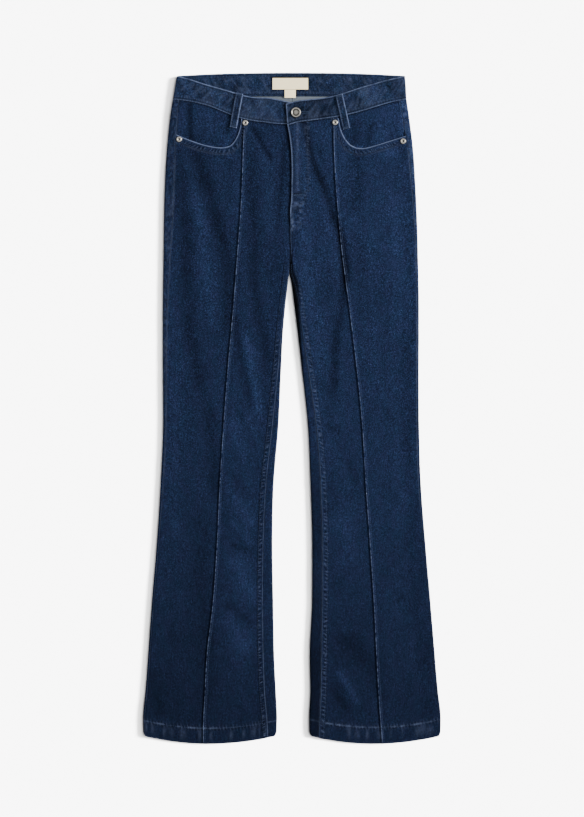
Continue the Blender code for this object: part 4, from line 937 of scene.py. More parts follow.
def front_wear(leg, x, height):
    """Where the front is rubbed pale: fold and seam edges, the hem and the fly. The pale crests of the
    ribs are added in the shader, as rubbing and painted highlight.
    """
    from_outseam = np.abs(x - outseam_x(leg, height))
    from_inseam = np.abs(x - inseam_x(leg, height))
    below = 1.0 - ease(height, CROTCH - 60.0, 60)
    patchy = 0.62 + 0.38 * noise(x * 0.3, height, 11, 31) + 0.2 * noise(x * 0.3, height, 3.6, 32)
    dotted = np.clip(0.72 + 1.15 * noise(0, height, 2.4, 38) + 0.5 * noise(0, height, 9, 39), 0.0, 2.2)
    worn = np.interp(height, (0.0, 60.0, 420.0, 700.0), (0.68, 0.46, 0.46, 0.68))
    wear = worn * bump(x - leg.read("tuck", height), -1.9, 0.52) * dotted
    seam = 0.28 if leg.side < 0 else 0.36 - 0.324 * ease(height, 650, 70)
    upper = ease(height, 330, 160)
    wear += patchy * (seam * below * bump(from_inseam, 0.7, 0.7) + 0.30 * bump(height, 0.4, 0.9)
                      + 0.34 * upper * bump(from_outseam, 0.5, 0.8))
    hem = leg.hem_row + 1.0 - height
    wear += 0.34 * bump(hem, 1, 1.2) * np.clip(0.4 + 1.3 * noise(x, height * 0.3, 6, 33), 0.0, 1.5)
    wear += 0.18 * bump(hem, 12, 9) * unit(noise(x, height * 0.2, 5, 35))
    gap, along, _ = distance_to(leg.scoop, x, height)
    rub = 0.8 + 0.3 * noise(along, 0, 9, 34)
    wear += (height > HIP) * (1.25 * bump(gap, 0.3) * rub + 0.22 * bump(gap, 11.4) * patchy)
    if leg.side < 0:
        corner = bump(from_inseam, 4, 8) * unit(0.2 + noise(x, height * 0.1, 3.4, 37))
        return wear + 0.50 * bump(hem, 13, 10) * corner
    edge = np.abs(x - centre_edge(leg, height))
    wear += patchy * (2.0 * ease(height, 880, 40) * bump(edge, 0.6, 1.1)
                      + 0.40 * (height > CROTCH) * bump(edge / 0.9))
    fly, off = on_fly(x, height)
    specks = unit(noise(x, height, 3.6, 36))
    wear += 0.20 * fly * specks * (bump(off, -3, 2.4) + bump(off, 2.6, 1.4))
    wear += 0.03 * fly * bump(x, 9, 9)
    wear += 0.42 * fly * bump(x, 9.4, 1.9) * ease(height, 930, 20) * patchy * (0.3 + specks)
    low_fly = bump(height, 905, 26) * bump(x, 9, 12)
    wear += 0.42 * low_fly * unit(noise(x * 0.8, height, 3.4, 86))
    knot = bump(height, 881, 10) * bump(x, 0.6, 2.4)
    return wear + 0.70 * knot * unit(0.6 + noise(x, height, 2.4, 87))


def front_shade(leg, x, height):
    """How much darker or paler each place is than its cloth, as painted light and shade: the large
    folds, painted shadow beside the pressed tuck, under the band and the fly's lap, and painted
    shade in the deep seams, the stitch grooves, below the hem row and in the crotch.
    """
    from_inseam = np.abs(x - inseam_x(leg, height))
    from_outseam = np.abs(x - outseam_x(leg, height))
    below = 1.0 - ease(height, CROTCH - 20.0, 30)
    offset = x - leg.read("tuck", height)
    uneven = 0.7 + 0.5 * noise(0, height, 24, 81) + 0.3 * noise(0, height, 6, 82)
    tuck_shadow_depth = 0.70 + 0.60 * (leg.side > 0) * bump(height, 850, 90)
    shade = folded(leg, x, height)[1]
    # Painted shadow on the left of the pressed tuck, and a lighter painted shade on its right.
    shade = shade - uneven * (tuck_shadow_depth * bump(offset, -4.3, 1.3) + 0.20 * bump(offset, 2.6, 1.6))
    # Painted shade in the grooves of the felled inseam and the outseam.
    shade -= 0.35 * below * bump(from_inseam, FELLED_WIDTH) + 0.30 * bump(from_outseam, 0.2, 0.7)
    patches = np.clip(0.5 + noise(x, height * 0.3, 7, 84), 0.0, 1.5)
    # Painted shadow below the hem's stitch row.
    shade -= 0.45 * bump(leg.hem_row - height, 2.2, 1.3) * patches
    under_band = band_bottom(leg.band, x) - height
    gap = distance_to(leg.scoop, x, height)[0]
    near = ease(height, HIP, 20)
    # Painted shadow under the band's edge, and painted shade past the scoop's second stitch row.
    shade -= near * (0.8 * bump(under_band, 0.2, 1.7) + 0.55 * bump(gap, 10.4, 1.3))
    if leg.side < 0:
        # Painted shadow where the right front runs under the fly's lap.
        reach = 1.1 + 1.7 * ease(height, 868, 24)
        from_fly = np.maximum(fly_edge(height) - x - 0.6, 0.0)
        shade -= 1.4 * (height > CROTCH - 20.0) * bump(from_fly / reach)
    else:
        # Painted shade beside the fly's stitch rows, the bar tack and the centre edge; the foot of the fly is
        # mottled darker.
        fly, off = on_fly(x, height)
        dots = 0.7 + 0.6 * ripple(height, 5.2)
        shade -= 0.50 * fly * (bump(off, 1.2, 0.9) + bump(off, -1.6, 0.9)) * dots
        low_fly = bump(height, 915, 24) * bump(x, 9, 12)
        shade -= low_fly * unit(-noise(x * 0.8, height, 3.4, 86))
        tacked = bump(height - 0.12 * (x - 10.0), 933.4, 1.6) * bump(x, 11, 12)
        shade -= 0.8 * (x < 24.0) * tacked
        shade -= 0.50 * (height > CROTCH) * bump(x - centre_edge(leg, height), 3.6, 1.4)
    return np.exp(shade + cleft_shade(leg, x, height))


def cleft_shade(leg, x, height):
    """The deep shadow on the left leg's inner fold, just below the crotch."""
    if leg.side < 0:
        return 0.0
    deep = ease(height, 590, 130) * (1.0 - ease(height, 824, 14))
    reach = np.interp(height, (680.0, 720.0, 750.0, 785.0, 805.0, 825.0), (3.8, 5.6, 9.2, 10.4, 6.2, 2.2))
    return -3.1 * deep * bump(np.square((x - inner_fold(leg, height)) / reach))


# ---- Panels ----------------------------------------------------------------------------------

def front_grid(leg):
    """X, height, level and direction of each point of a front, from its hem to its top edge."""
    heights = np.concatenate((FRONT_HEM_ROWS, np.arange(30.6, HIP - 1.0, 1.5), (HIP,)))[:, None]
    radius = fold_radius(heights)
    quarter = np.pi * radius / 2.0
    outer = leg.read("outer", heights)
    inner = inner_fold(leg, heights)
    seam = round_from_fold(leg.read("wrap_out", heights), radius) + HALF_GAP
    felled = round_from_fold(leg.read("wrap_in", heights), radius) + HALF_GAP
    felled = np.where(heights <= CROTCH, felled, 0.000001)
    tuck = leg.read("tuck", heights)
    offsets = tuck_offsets(leg)[None, :]
    tucks = quarter + np.abs(tuck + offsets - outer) - radius
    after_tuck = quarter + np.abs(inner - tuck - offsets[:, -1:]) - radius
    first = seam + np.array(SEAM_COLUMNS)[None, :]
    last = felled + np.array(FELLED_COLUMNS)[None, :]
    shares = np.linspace(0.0, 1.0, 36)[None, 1:-1]
    strip = mixed(first[:, -1:], tucks[:, :1], shares)
    across = np.concatenate((first, strip, tucks, mixed(after_tuck, last[:, :1], shares), last), axis=1)
    before_tuck = first.shape[1] + strip.shape[1]
    from_inner = np.arange(across.shape[1])[None, :] >= before_tuck + tucks.shape[1]
    full = np.broadcast_to(heights, across.shape)
    x, z, lean, rise = ring(leg, full, across, np.broadcast_to(from_inner, across.shape))
    top_x, top_height = front_top_rows(leg, x[-1], before_tuck, tucks.shape[1])
    plain = np.zeros(top_x.shape)
    top = (top_x, top_height, front_top(leg, top_x, top_height), plain, plain + 1.0)
    return [np.concatenate(pair) for pair in zip((x, full, z, lean, rise), top)]


def tuck_offsets(leg):
    return np.array(TUCK_COLUMNS if leg.side < 0 else TUCK_COLUMNS[::-1])


def front_top_rows(leg, hip_x, before, tucks):
    """Rows from the hip to the scoop and the waistband, close together beside that edge."""
    share = np.abs(hip_x[:before] - hip_x[0]) / abs(hip_x[before] - hip_x[0])
    at_tuck = float(leg.read("tuck", YOKE_SIDE)) + tuck_offsets(leg)
    ends = float(centre_edge(leg, FLY_TOP)) + hip_x[-len(FELLED_COLUMNS):] - hip_x[-1]
    count = len(hip_x) - before - tucks - len(FELLED_COLUMNS)
    strip = at_tuck[-1] + (ends[0] - at_tuck[-1]) * np.linspace(0.0, 1.0, count + 2)[1:-1]
    xs = np.concatenate((at_tuck, strip, ends))
    under_band = np.stack((xs, band_bottom(leg.band, xs) + UNDER_BAND), axis=1)
    edge = np.concatenate((resample(leg.scoop, share), under_band))
    hip = np.stack((hip_x, np.full(len(hip_x), HIP)), axis=1)
    way = edge - hip
    way = way / np.linalg.norm(way, axis=1)[:, None]
    tangent = directions(edge)
    slant = np.maximum(np.abs(way[:, 0] * tangent[:, 1] - way[:, 1] * tangent[:, 0]), 0.35)
    near = [edge - way * (gap / slant)[:, None] for gap in EDGE_ROWS]
    rows = [hip + (near[0] - hip) * t for t in np.linspace(0.0, 1.0, 30)[1:-1]]
    x, height = np.moveaxis(np.array(rows + near), -1, 0)
    place = 2.0 * (hip_x - hip_x[0]) / (hip_x[-1] - hip_x[0]) - 1.0
    seam_shift = outseam_x(leg, height[:, 0]) - leg.side * HALF_GAP - x[:, 0]
    centre_shift = centre_edge(leg, height[:, -1]) - x[:, -1]
    shift = np.where(place[None, :] < 0.0, seam_shift[:, None], centre_shift[:, None])
    return x + shift * place[None, :] ** 2, height


def make_front(leg, material):
    x, height, z, lean, rise = front_grid(leg)
    extra = relief(leg, x, height)
    under = extra - cloth_at(leg, height)
    hem_x, hem_height = shaped_for_hem(leg, x, height, 0.0)
    outer = grid_points(hem_x + lean * extra, hem_height, z + rise * extra + tuck_rise(leg, x, height))
    inner = grid_points(hem_x + lean * under, hem_height, z + rise * under)
    count, ribbed = rib_field(leg, x, height)
    return wall(f"cloth_front_{leg.name}", outer, inner, material, "denim", (f"front_{leg.name}",),
                wear=front_wear(leg, x, height), tone=tone_at(x, height) * front_shade(leg, x, height),
                rib=count, ribbed=ribbed)


def back_places(leg, height):
    """Distances round from the folds for each column of a back, at one height a point."""
    radius = fold_radius(height)
    quarter = np.pi * radius / 2.0
    back_seam = centre("back_seam", height) + leg.side * HALF_GAP
    far = np.where(height > CROTCH, back_seam, inner_fold(leg, height))
    span = np.abs(far - leg.read("outer", height)) - 2.0 * radius
    flats = np.concatenate((np.zeros(BACK_SIDE), BACK_FLATS, np.zeros(BACK_SIDE)))
    across = -quarter - span * flats
    offset = np.concatenate((BACK_EDGE, np.full(len(BACK_TURNS), BACK_EDGE[-1])))
    turned = np.concatenate((np.zeros(len(BACK_EDGE)), BACK_TURNS))
    for column, part, way in (("wrap_out", np.s_[:, :BACK_SIDE], 1), ("wrap_in", np.s_[:, -BACK_SIDE:], -1)):
        end = round_from_fold(leg.read(column, height[part]), radius[part]) - HALF_GAP
        if column == "wrap_in":
            end = np.where(height[part] > CROTCH, 0.0, end)
        place = end - offset[::way]
        across[part] = place + (-quarter[part] - place) * turned[::way]
    return across, np.broadcast_to(np.arange(BACK_COUNT) >= BACK_COUNT - BACK_SIDE, height.shape)


def back_form(leg, height, tucked_up, thick=None):
    across, from_inner = back_places(leg, height)
    x, z, lean, rise = ring(leg, height, across, from_inner)
    thick = cloth_at(leg, height) if thick is None else thick
    wrap = np.where(from_inner, leg.read("wrap_in", height), leg.read("wrap_out", height))
    to_seam = round_from_fold(wrap, fold_radius(height)) - across
    drift = 2.0 * noise(x * 0.2, height, 26, 41)
    extra = 0.10 * ripple(height, 8, drift) * bump(to_seam, 2, 2.6)
    extra += 0.14 * noise(x, height, 15, 42) * ease(to_seam / 6.0) * ease(across / 4.0)
    extra = np.where(across > 0.0, extra, 0.0)
    hem_x, hem_height = shaped_for_hem(leg, x, height, tucked_up)
    outer = grid_points(hem_x + lean * extra, hem_height, z + rise * extra)
    inner = grid_points(hem_x - lean * thick, hem_height, z - rise * thick)
    patchy = 0.6 + 0.4 * noise(x * 0.3, height, 9, 43)
    on_top = (across > 0.0) & (to_seam < 40.0)
    wear = 0.22 * on_top * bump(to_seam, 0.2, 0.6) + 0.30 * bump(height, 0.4, 0.9)
    wear = patchy * (wear + 0.12 * bump(across / 1.6) * ~(from_inner & (height > CROTCH)))
    hem = leg.hem_row + 1.0 - height
    wear += 0.20 * bump(hem, 1.2, 1.2) * (0.7 + 0.5 * noise(x, height, 6, 44))
    strip = ease(height, 520, 160) * (on_top & ~from_inner)
    # The outseam strip over the hip is mottled by rubbing; it is also painted paler on the left leg, whose
    # side faces the light, and darker on the right: painted light and shade.
    speckled, clouded, painted_side_light = (0.16, 0.04, -0.12) if leg.side < 0 else (0.26, 0.10, 0.45)
    wear += speckled * strip * unit(noise(x * 1.3, height * 0.8, 2.6, 45))
    wear += clouded * strip * unit(noise(x, height, 14, 46))
    tone = tone_at(x, height) * np.where(on_top, 1.04, 0.92)
    tone *= np.exp(-0.6 * strip * unit(-noise(x * 1.3, height * 0.8, 3.2, 45)))
    if leg.side > 0:
        # The left leg's inner strip is painted in shade, deepest at its fold and below the crotch.
        inside_leg = on_top & from_inner & (height < CROTCH)
        low = np.interp(height, *np.array(INSIDE_LEG_PAINTED_SHADE).T)
        edge = (1.0 - 0.55 * bump(across / 3.0)) * np.exp(cleft_shade(leg, x, height))
        tone *= np.where(inside_leg, (0.80 - low) * edge, 1.0)
    return outer, inner, wear, tone * (1.0 + painted_side_light * strip)


def back_row(leg, at):
    """X of each column of a back at one height, and which of them lie over the front's side."""
    height = np.full((1, BACK_COUNT), at)
    across, from_inner = back_places(leg, height)
    return ring(leg, height, across, from_inner)[0][0], (across[0] > 0.0) & ~from_inner[0]


def yoke_seam(leg):
    outer = float(leg.read("outer", YOKE_SIDE))
    span = abs(float(centre("back_seam", YOKE_SIDE)) - outer)
    return YOKE_SIDE + (YOKE_CENTRE - YOKE_SIDE) * np.abs(back_row(leg, YOKE_SIDE)[0] - outer) / span


def yoke_top(leg):
    x, over = back_row(leg, BACK_BAND_CORNER)
    return np.where(over, band_bottom(leg.band, x), band_bottom(BAND_BACK, x)) + UNDER_BAND


def make_back(leg, material):
    heights = np.concatenate((BACK_HEM_ROWS, np.arange(31.0, HIP - 1.0, 3.2), (HIP,)))
    rows = [np.full(BACK_COUNT, height) for height in heights]
    top = yoke_seam(leg) - HALF_GAP
    gaps = (6.0, 3.0, 1.6, 0.8, 0.3, 0.1, 0.0)
    rows += [HIP + (top - gaps[0] - HIP) * t for t in np.linspace(0.0, 1.0, 20)[1:-1]]
    rows += [top - gap for gap in gaps]
    outer, inner, wear, tone = back_form(leg, np.array(rows), BACK_HEM_TUCKED_UP)
    return wall(f"cloth_back_{leg.name}", outer, inner, material, "denim", (f"back_{leg.name}",),
                wear=wear, tone=tone)


def make_yoke(leg, material):
    low, high = yoke_seam(leg) + HALF_GAP, yoke_top(leg)
    gaps = (0.0, 0.1, 0.3, 0.8, 1.6, 3.0)
    start = low + gaps[-1]
    rows = [low + gap for gap in gaps]
    rows += [start + (high - start) * t for t in np.linspace(0.0, 1.0, 24)[1:]]
    outer, inner, wear, tone = back_form(leg, np.array(rows), 0.0, CLOTH)
    # Inside the waist the yoke's strip is painted in shadow below STRIP_LIT, and comes to its own tone above
    # it.
    on_strip = outer[..., 2] < CLOTH
    inner_tone = np.where(on_strip, mixed(0.35, 1.0, ease(outer[..., 1], STRIP_LIT - 9.0, 8)), tone)
    return wall(f"cloth_yoke_{leg.name}", outer, inner, material, "denim", (f"yoke_{leg.name}",),
                inner_tone=inner_tone, wear=wear, tone=tone)


def beside_line(leg, line, gap):
    """A line at a distance below another one that runs from the outseam."""
    tangent = directions(line)
    return line + gap * leg.side * np.stack((-tangent[:, 1], tangent[:, 0]), axis=1)


def facing_grid(leg):
    """X and height of the pocket facing, from a line that follows below the scoop to the waistband."""
    count = 60
    low = beside_line(leg, resample(leg.scoop, count), FACING_REACH)
    start = leg.scoop_start - FACING_REACH
    low[0] = (float(outseam_x(leg, start)) - leg.side * HALF_GAP, start)
    last_x = leg.scoop_end - leg.side * FACING_REACH
    low[-1] = (last_x, float(band_bottom(leg.band, last_x)))
    for _ in range(3):
        low[1:-1] = (low[:-2] + 2.0 * low[1:-1] + low[2:]) / 4.0
    corner = float(band_bottom(leg.band, outseam_x(leg, BACK_BAND_CORNER))) + UNDER_BAND
    xs = np.linspace(float(outseam_x(leg, corner)) - leg.side * HALF_GAP, leg.scoop_end, count)
    high = np.stack((xs, band_bottom(leg.band, xs) + UNDER_BAND), axis=1)
    x, height = np.moveaxis(low[None] + (high - low)[None] * np.linspace(0.0, 1.0, 48)[:, None, None], -1, 0)
    shift = outseam_x(leg, height[:, :1]) - leg.side * HALF_GAP - x[:, :1]
    return x + shift * (1.0 - np.linspace(0.0, 1.0, count)[None, :]) ** 2, height


def make_facing(leg, material):
    x, height = facing_grid(leg)
    seed = 51 if leg.side < 0 else 55
    from_seam = np.abs(x - outseam_x(leg, height))
    under_band = band_bottom(leg.band, x) - height
    extra = 0.30 * noise(x, height, 26, seed) + 0.12 * noise(x, height, 9, seed + 1)
    extra = extra * ease(from_seam / 8.0)
    drift = 2.0 * noise(x * 0.2, height, 20, seed + 2)
    extra += 0.16 * ripple(height, 6.5, drift) * bump(from_seam, 2.4, 2.2)
    drift = 2.0 * noise(x, 0, 25, seed + 3)
    extra += 0.16 * ripple(x, 6, drift) * bump(under_band, 2, 3)
    wear = 0.30 * bump(from_seam, 0.4, 0.8) * (0.62 + 0.38 * noise(x * 0.3, height, 9, 58))
    z = facing_top(leg, x, height)
    # Painted shadow under the band, painted shade beside the outseam, then the creases' painted light and
    # shade.
    shade = -0.7 * bump(under_band, 0.2, 1.8) - 0.3 * bump(from_seam, 2.8)
    for x0, height0, x1, height1, half_width, depth in FACING_SHADES[leg.name]:
        shade += depth * bump(distance_to(((x0, height0), (x1, height1)), x, height)[0] / half_width)
    outer = grid_points(x, height, z + extra)
    inner = grid_points(x, height, z - CLOTH)
    return wall(f"cloth_facing_{leg.name}", outer, inner, material, "denim", (f"pocket_facing_{leg.name}",),
                wear=wear, tone=tone_at(x, height) * FACING_TONE * np.exp(shade))


# ---- Waistband, loops, labels ----------------------------------------------------------------

def band_faces():
    """The three faces of the band as fine rows: top and bottom edge, and the face's level."""
    faces = []
    for table, way in ((BAND_RIGHT, 1.0), (BAND_BACK[::-1], -1.0), (BAND_LEFT[::-1], 1.0)):
        rows = np.array(table, dtype=float)
        coded = np.concatenate((lengths_along(rows[:, 2:4])[:, None], rows), axis=1)
        length = coded[-1, 0]
        near = np.array((0.0, 0.1, 0.3, 0.7, 1.2, 1.7))
        at = np.concatenate((near, np.linspace(2.6, length - 2.6, int(length / 1.7)), (length - near)[::-1]))
        faces.append((np.stack([smooth(coded, k, at) for k in range(1, 6)], axis=1), way))
    return faces


def band_stations():
    """Top, bottom and outward direction at each fine station round the waistband."""
    stations = []
    for rows, way in band_faces():
        if stations:
            top, bottom, (_, before) = stations[-1]
            _, top_height, _, bottom_height, z = rows[0]
            radius = abs(top[2] - z) / 2.0
            side = math.copysign(1.0, top[0])
            for share in np.arange(1, 12) / 12.0:
                angle = before * math.pi * (0.5 - share)
                out = side * radius * math.cos(angle)
                now = (top[2] + z) / 2.0 + radius * math.sin(angle)
                stations.append(((top[0] + out, top[1] + (top_height - top[1]) * share, now),
                                 (bottom[0] + out, bottom[1] + (bottom_height - bottom[1]) * share, now),
                                 (side * math.cos(angle), math.sin(angle))))
        for top_x, top_height, bottom_x, bottom_height, z in rows:
            stations.append(((top_x, top_height, z), (bottom_x, bottom_height, z), (0.0, way)))
    return stations


def band_grid():
    stations = band_stations()
    top = np.array([s[0] for s in stations])[:, None, :]
    bottom = np.array([s[1] for s in stations])[:, None, :]
    out = np.array([(s[2][0], 0.0, s[2][1]) for s in stations])[:, None, :]
    width = np.linalg.norm(top - bottom, axis=2)
    edge = np.array((0.0, 0.12, 0.35, 0.8, 1.4, 2.0, 2.6, 3.4, 4.6, 6.6))
    low = np.broadcast_to(edge[None, :], (len(stations), len(edge)))
    high = width - edge[::-1][None, :]
    middle = low[:, -1:] + (high[:, :1] - low[:, -1:]) * np.linspace(0.0, 1.0, 12)[None, 1:-1]
    across = np.concatenate((low, middle, high), axis=1)
    plain = bottom + (top - bottom) / width[..., None] * across[..., None]
    return plain, out, across, width, np.broadcast_to(lengths_along(bottom[:, 0])[:, None], across.shape)


def band_relief(across, width, along):
    from_edge = np.minimum(across, width - across)
    rise = 0.16 * noise(along, across, 21, 61) + 0.10 * noise(along, across, 8, 62)
    rise = rise * ease(from_edge / 4.0) - 0.16 * bump(from_edge, 2.2, 0.6)
    drift = 2.0 * noise(along, 0, 19, 63) + across * 0.35
    rise = rise + 0.17 * ripple(along, 5.4, drift) * bump(from_edge, 4.2, 2.8)
    return rise + 0.22 * unit(noise(along + across * 0.7, across, 13, 64)) * ease(from_edge, 5, 6)


def band_look(plain, across, width, along):
    """Wear and tone of the waistband: rubbed edges, scuffs and patches, painted shade in the sunk
    stitch lines and small creases, and painted shadows of the over end, round the button and round
    the labels.
    """
    from_top = width - across
    from_edge = np.minimum(across, from_top)
    from_end = np.minimum(along, along.max() - along)
    x, height, z = np.moveaxis(plain, -1, 0)
    inner_face = z < BACK_BAND_LEVEL + 0.5
    patchy = 0.7 + 0.34 * noise(along, across * 0.3, 10, 65) + 0.3 * noise(along, across * 0.3, 3.4, 66)
    dots = unit(ripple(along, 5.1, 2.0 * noise(along, 0, 15, 67)))
    wear = 1.05 * bump(from_top, 0.7, 1.1)
    wear += 0.90 * bump(across, 0.6) * (0.6 + 0.5 * dots) * (1.0 - 0.85 * inner_face)
    wear += 0.34 * bump(across, 5.6, 1.1) * (0.35 + dots) + 0.16 * bump(from_top, 5.2, 1.2) * (0.2 + dots)
    wear += 1.4 * bump(from_end, 0.8, 1.2) * (0.5 + 0.6 * noise(across, along, 5, 77))
    scuffs = unit(noise(along * 1.5 + across * 1.1, across * 0.35 - along * 0.1, 4, 68) + 0.1)
    wear = wear * patchy + 0.17 * scuffs * ease(from_edge, 5, 3)
    wear += 0.16 * unit(noise(along, across * 0.5, 24, 69)) * (1.0 - inner_face)

    shade = 0.30 * noise(along, across * 0.5, 30, 70) * (1.0 - 0.6 * inner_face)
    shade += 0.22 * noise(along, across, 9, 72)
    # Painted shade in the sunk stitch lines.
    shade -= 0.75 * bump(across, 3.2, 1.1) + 0.50 * bump(from_top, 3, 1.1)
    shade -= 0.35 * bump(across, 7.6, 1.2) * (1.0 - dots)
    # Painted shade in small creases of the band.
    folds = unit(noise(along * 1.1 - across * 0.9, across * 0.3, 8, 73))
    shade -= 0.46 * folds * ease(from_edge, 4, 4)
    # Painted shadow that the over end casts on the under end.
    beneath = BAND_LEFT[0][0] + (BAND_LEFT[0][1] - height) * 0.067 - x
    beneath = np.where((z < 7.5) & ~inner_face & (x < 0.0), beneath, 99.0)
    shade -= 1.5 * bump(np.maximum(beneath - 0.4, 0.0) / 2.4)
    # Painted shadow round the button, and a darker patch beside it.
    eye = np.hypot(x - BUTTON_X, height - BUTTON_HEIGHT)
    shade -= ~inner_face * (0.62 * bump(x, 42, 34) + 0.9 * bump(eye, 8.6, 1.8))
    # Painted shadow round the labels, on the inner face.
    label_shadow = 0.0
    for x0, x1, low, high in LABELS.values():
        aside = np.maximum(np.maximum(x0 - x, x - x1), 0.0)
        above = np.maximum(np.maximum(low - height, height - high), 0.0)
        label_shadow = label_shadow + inner_face * 1.5 * bump(np.hypot(aside, above) / LABEL_SHADOW_REACH)
    tone = BAND_TONE * np.exp(shade)
    return wear, tone, tone * np.exp(-label_shadow)


def make_band(material):
    plain, out, across, width, along = band_grid()
    outer = plain + out * band_relief(across, width, along)[..., None]
    wear, tone, inner_tone = band_look(plain, across, width, along)
    band = wall("cloth_waistband", outer, plain - out * BAND_CLOTH, material, "band_denim", ("waistband",),
                every=1, reverse=0.0, inner_tone=inner_tone, wear=wear, tone=tone)
    middle = (HOLE_BOTTOM + HOLE_TOP) / 2.0
    cutters = []
    for size_x, size_y, x, steps in (
        (EYE_RADIUS * 2.0, EYE_RADIUS * 2.0, BUTTON_X, 28),
        (SLIT_LENGTH * DIAGONAL, SLIT_WIDTH * DIAGONAL, BUTTON_X + SLIT_LENGTH / 2.0, 4),
    ):
        shape = bmesh.new()
        bmesh.ops.create_cone(shape, cap_ends=True, segments=steps, depth=(HOLE_TOP - HOLE_BOTTOM) * MM,
                              radius1=0.5, radius2=0.5)
        if steps == 4:
            bmesh.ops.rotate(shape, verts=shape.verts, cent=(0, 0, 0), matrix=TURN_45)
        bmesh.ops.scale(shape, vec=(size_x * MM, size_y * MM, 1.0), verts=shape.verts)
        mesh = bpy.data.meshes.new("hole")
        shape.to_mesh(mesh)
        shape.free()
        cutter = linked("hole", mesh)
        cutter.location = metres((x, BUTTON_HEIGHT, middle))[0]
        cutter.hide_render = True
        cut = band.modifiers.new("hole", "BOOLEAN")
        cut.operation = "DIFFERENCE"
        cut.solver = "EXACT"
        cut.object = cutter
        cutters.append(cutter)
    graph = bpy.context.evaluated_depsgraph_get()
    made = bpy.data.meshes.new_from_object(band.evaluated_get(graph), depsgraph=graph)
    band.modifiers.clear()
    band.data = made
    for cutter in cutters:
        bpy.data.objects.remove(cutter, do_unlink=True)
    return band


def loop_places(ends, near, first, pitch):
    """X and height of a belt loop's grid, its places down the loop and across it, and its length."""
    top_x, top_height, bottom_x, bottom_height = ends
    length = math.hypot(bottom_x - top_x, bottom_height - top_height)
    along = np.array(((bottom_x - top_x) / length, (bottom_height - top_height) / length))
    stops = graded(near, (first, 4.0), pitch, length)[:, None]
    offs = np.array((0.0, 0.12, 0.35, 0.8, 1.3, 1.9, 2.5, 3.3, 4.6)) - LOOP_WIDTH / 2.0
    offs = np.concatenate((offs, (0.0,), -offs[::-1]))[None, :]
    x = top_x + along[0] * stops - along[1] * offs
    height = top_height + along[1] * stops + along[0] * offs
    return x, height, stops, offs, along, length


def loop_grid(leg, ends):
    """Outer and inner grids of a front loop: over the band, then down on to the facing."""
    near = (0.0, 0.1, 0.3, 0.7, 1.2, 2.0, 3.0)
    x, height, stops, offs, along, length = loop_places(ends, near, 4.2, 1.3)
    line = np.arange(0.0, length, 1.0)
    over = ends[1] + along[1] * line < band_bottom(leg.band, ends[0] + along[0] * line)
    edge = float(line[np.argmax(over)])
    spring = LOOP_SPRING * ease(np.minimum(stops, edge - stops) / (LOOP_SPRING_EASE * edge))
    on_band = band_level(leg.band, ends[0]) + SEAM_GAP + spring
    on_facing = facing_top(leg, x, height) + SEAM_GAP
    z = on_band + (on_facing - on_band) * ease(stops, edge + LOOP_PAST_BAND, LOOP_STEP)
    from_side = LOOP_WIDTH / 2.0 - np.abs(offs)
    end = np.minimum(stops, length - stops)
    rise = 0.28 * bump(from_side, 1.3, 0.9) - 0.14 * bump(from_side, 2.6, 0.5)
    rise = rise + 0.35 * (1.0 - ease(end, 5, 2)) + 0.10 * ripple(stops, 4.6) * bump(from_side, 2.6, 1.4)
    outer = grid_points(x, height, z + LOOP_CLOTH + rise)
    # The edge that faces the light gets more of the pale mark: painted highlight on top of the rubbed edges.
    lit = np.where(offs > 0.0, 0.8, 0.5)
    ladder = unit(ripple(stops, 3.7, 3.0 * noise(x, height, 12, 78)))
    wear = 1.15 * lit * bump(from_side, 0.8, 0.9) + 0.6 * bump(end, 0.6, 0.9)
    wear = (wear + 0.34 * ladder * bump(from_side, 2.2, 1.3)) * (0.7 + 0.4 * noise(x, height, 7, 71))
    wear = wear + 0.10 * unit(noise(x, height, 5, 75))
    return outer, grid_points(x, height, z), wear, stops, offs


def leg_of(x):
    return right if x < 0.0 else left


def make_loops(material):
    made = []
    for name, ends in FRONT_LOOPS.items():
        outer, inner, wear, _, offs = loop_grid(leg_of(ends[0]), ends)
        # Painted shade inside the loop's stitch rows, and the left loop painted paler than the right, as
        # painted light.
        groove = bump(LOOP_WIDTH / 2.0 - np.abs(offs), 3.4, 1.4)
        tone = 0.9 * np.exp(0.3 * noise(outer[..., 0], outer[..., 1], 5, 76) - 0.7 * groove)
        tone = tone * (0.88 if ends[0] < 0.0 else 1.05)
        made.append(wall(f"cloth_{name}", outer, inner, material, "band_denim", (name,), every=2,
                         wear=wear, tone=tone))
    for name, ends in BACK_LOOPS.items():
        x, height, _, offs, _, _ = loop_places(ends, (0.0, 0.1, 0.3, 0.7, 1.2, 2.2), 4.0, 1.6)
        from_side = LOOP_WIDTH / 2.0 - np.abs(offs)
        outer = grid_points(x, height, 0.14 * bump(from_side, 2.6, 0.6))
        inner = grid_points(x, height, BACK_LOOP_CLOTH)
        made.append(wall(f"cloth_{name}", outer, inner, material, "band_denim", (name,), every=2,
                         wear=0.4 * bump(from_side, 0.7, 0.8), tone=0.95))
    return made


def make_labels(material):
    made = []
    near = (0.0, 0.08, 0.25, 0.6, 1.1, 1.8)
    for name, (x0, x1, low, high) in LABELS.items():
        xs = x0 + graded(near, (2.8, 2.4), 1.2, x1 - x0)[None, :]
        hs = low + graded(near, (2.8, 2.4), 1.2, high - low)[:, None]
        from_end = np.minimum(xs - x0, x1 - xs)
        z = LABEL_SEAT + LABEL_FACE + 0.22 * ease(from_end, 1.5, 5) + 0.12 * noise(xs, hs, 12, 74)
        outer = grid_points(xs, hs, z - 0.12 * bump(from_end, 1.5, 0.5))
        inner = grid_points(xs, hs, LABEL_SEAT)
        selvedge = bump(np.minimum(hs - low, high - hs), 0.7, 0.6)
        made.append(wall(f"weave_{name}", outer, inner, material, "label_weave", (name,), every=2,
                         wear=selvedge, tone=1.0))
    return made


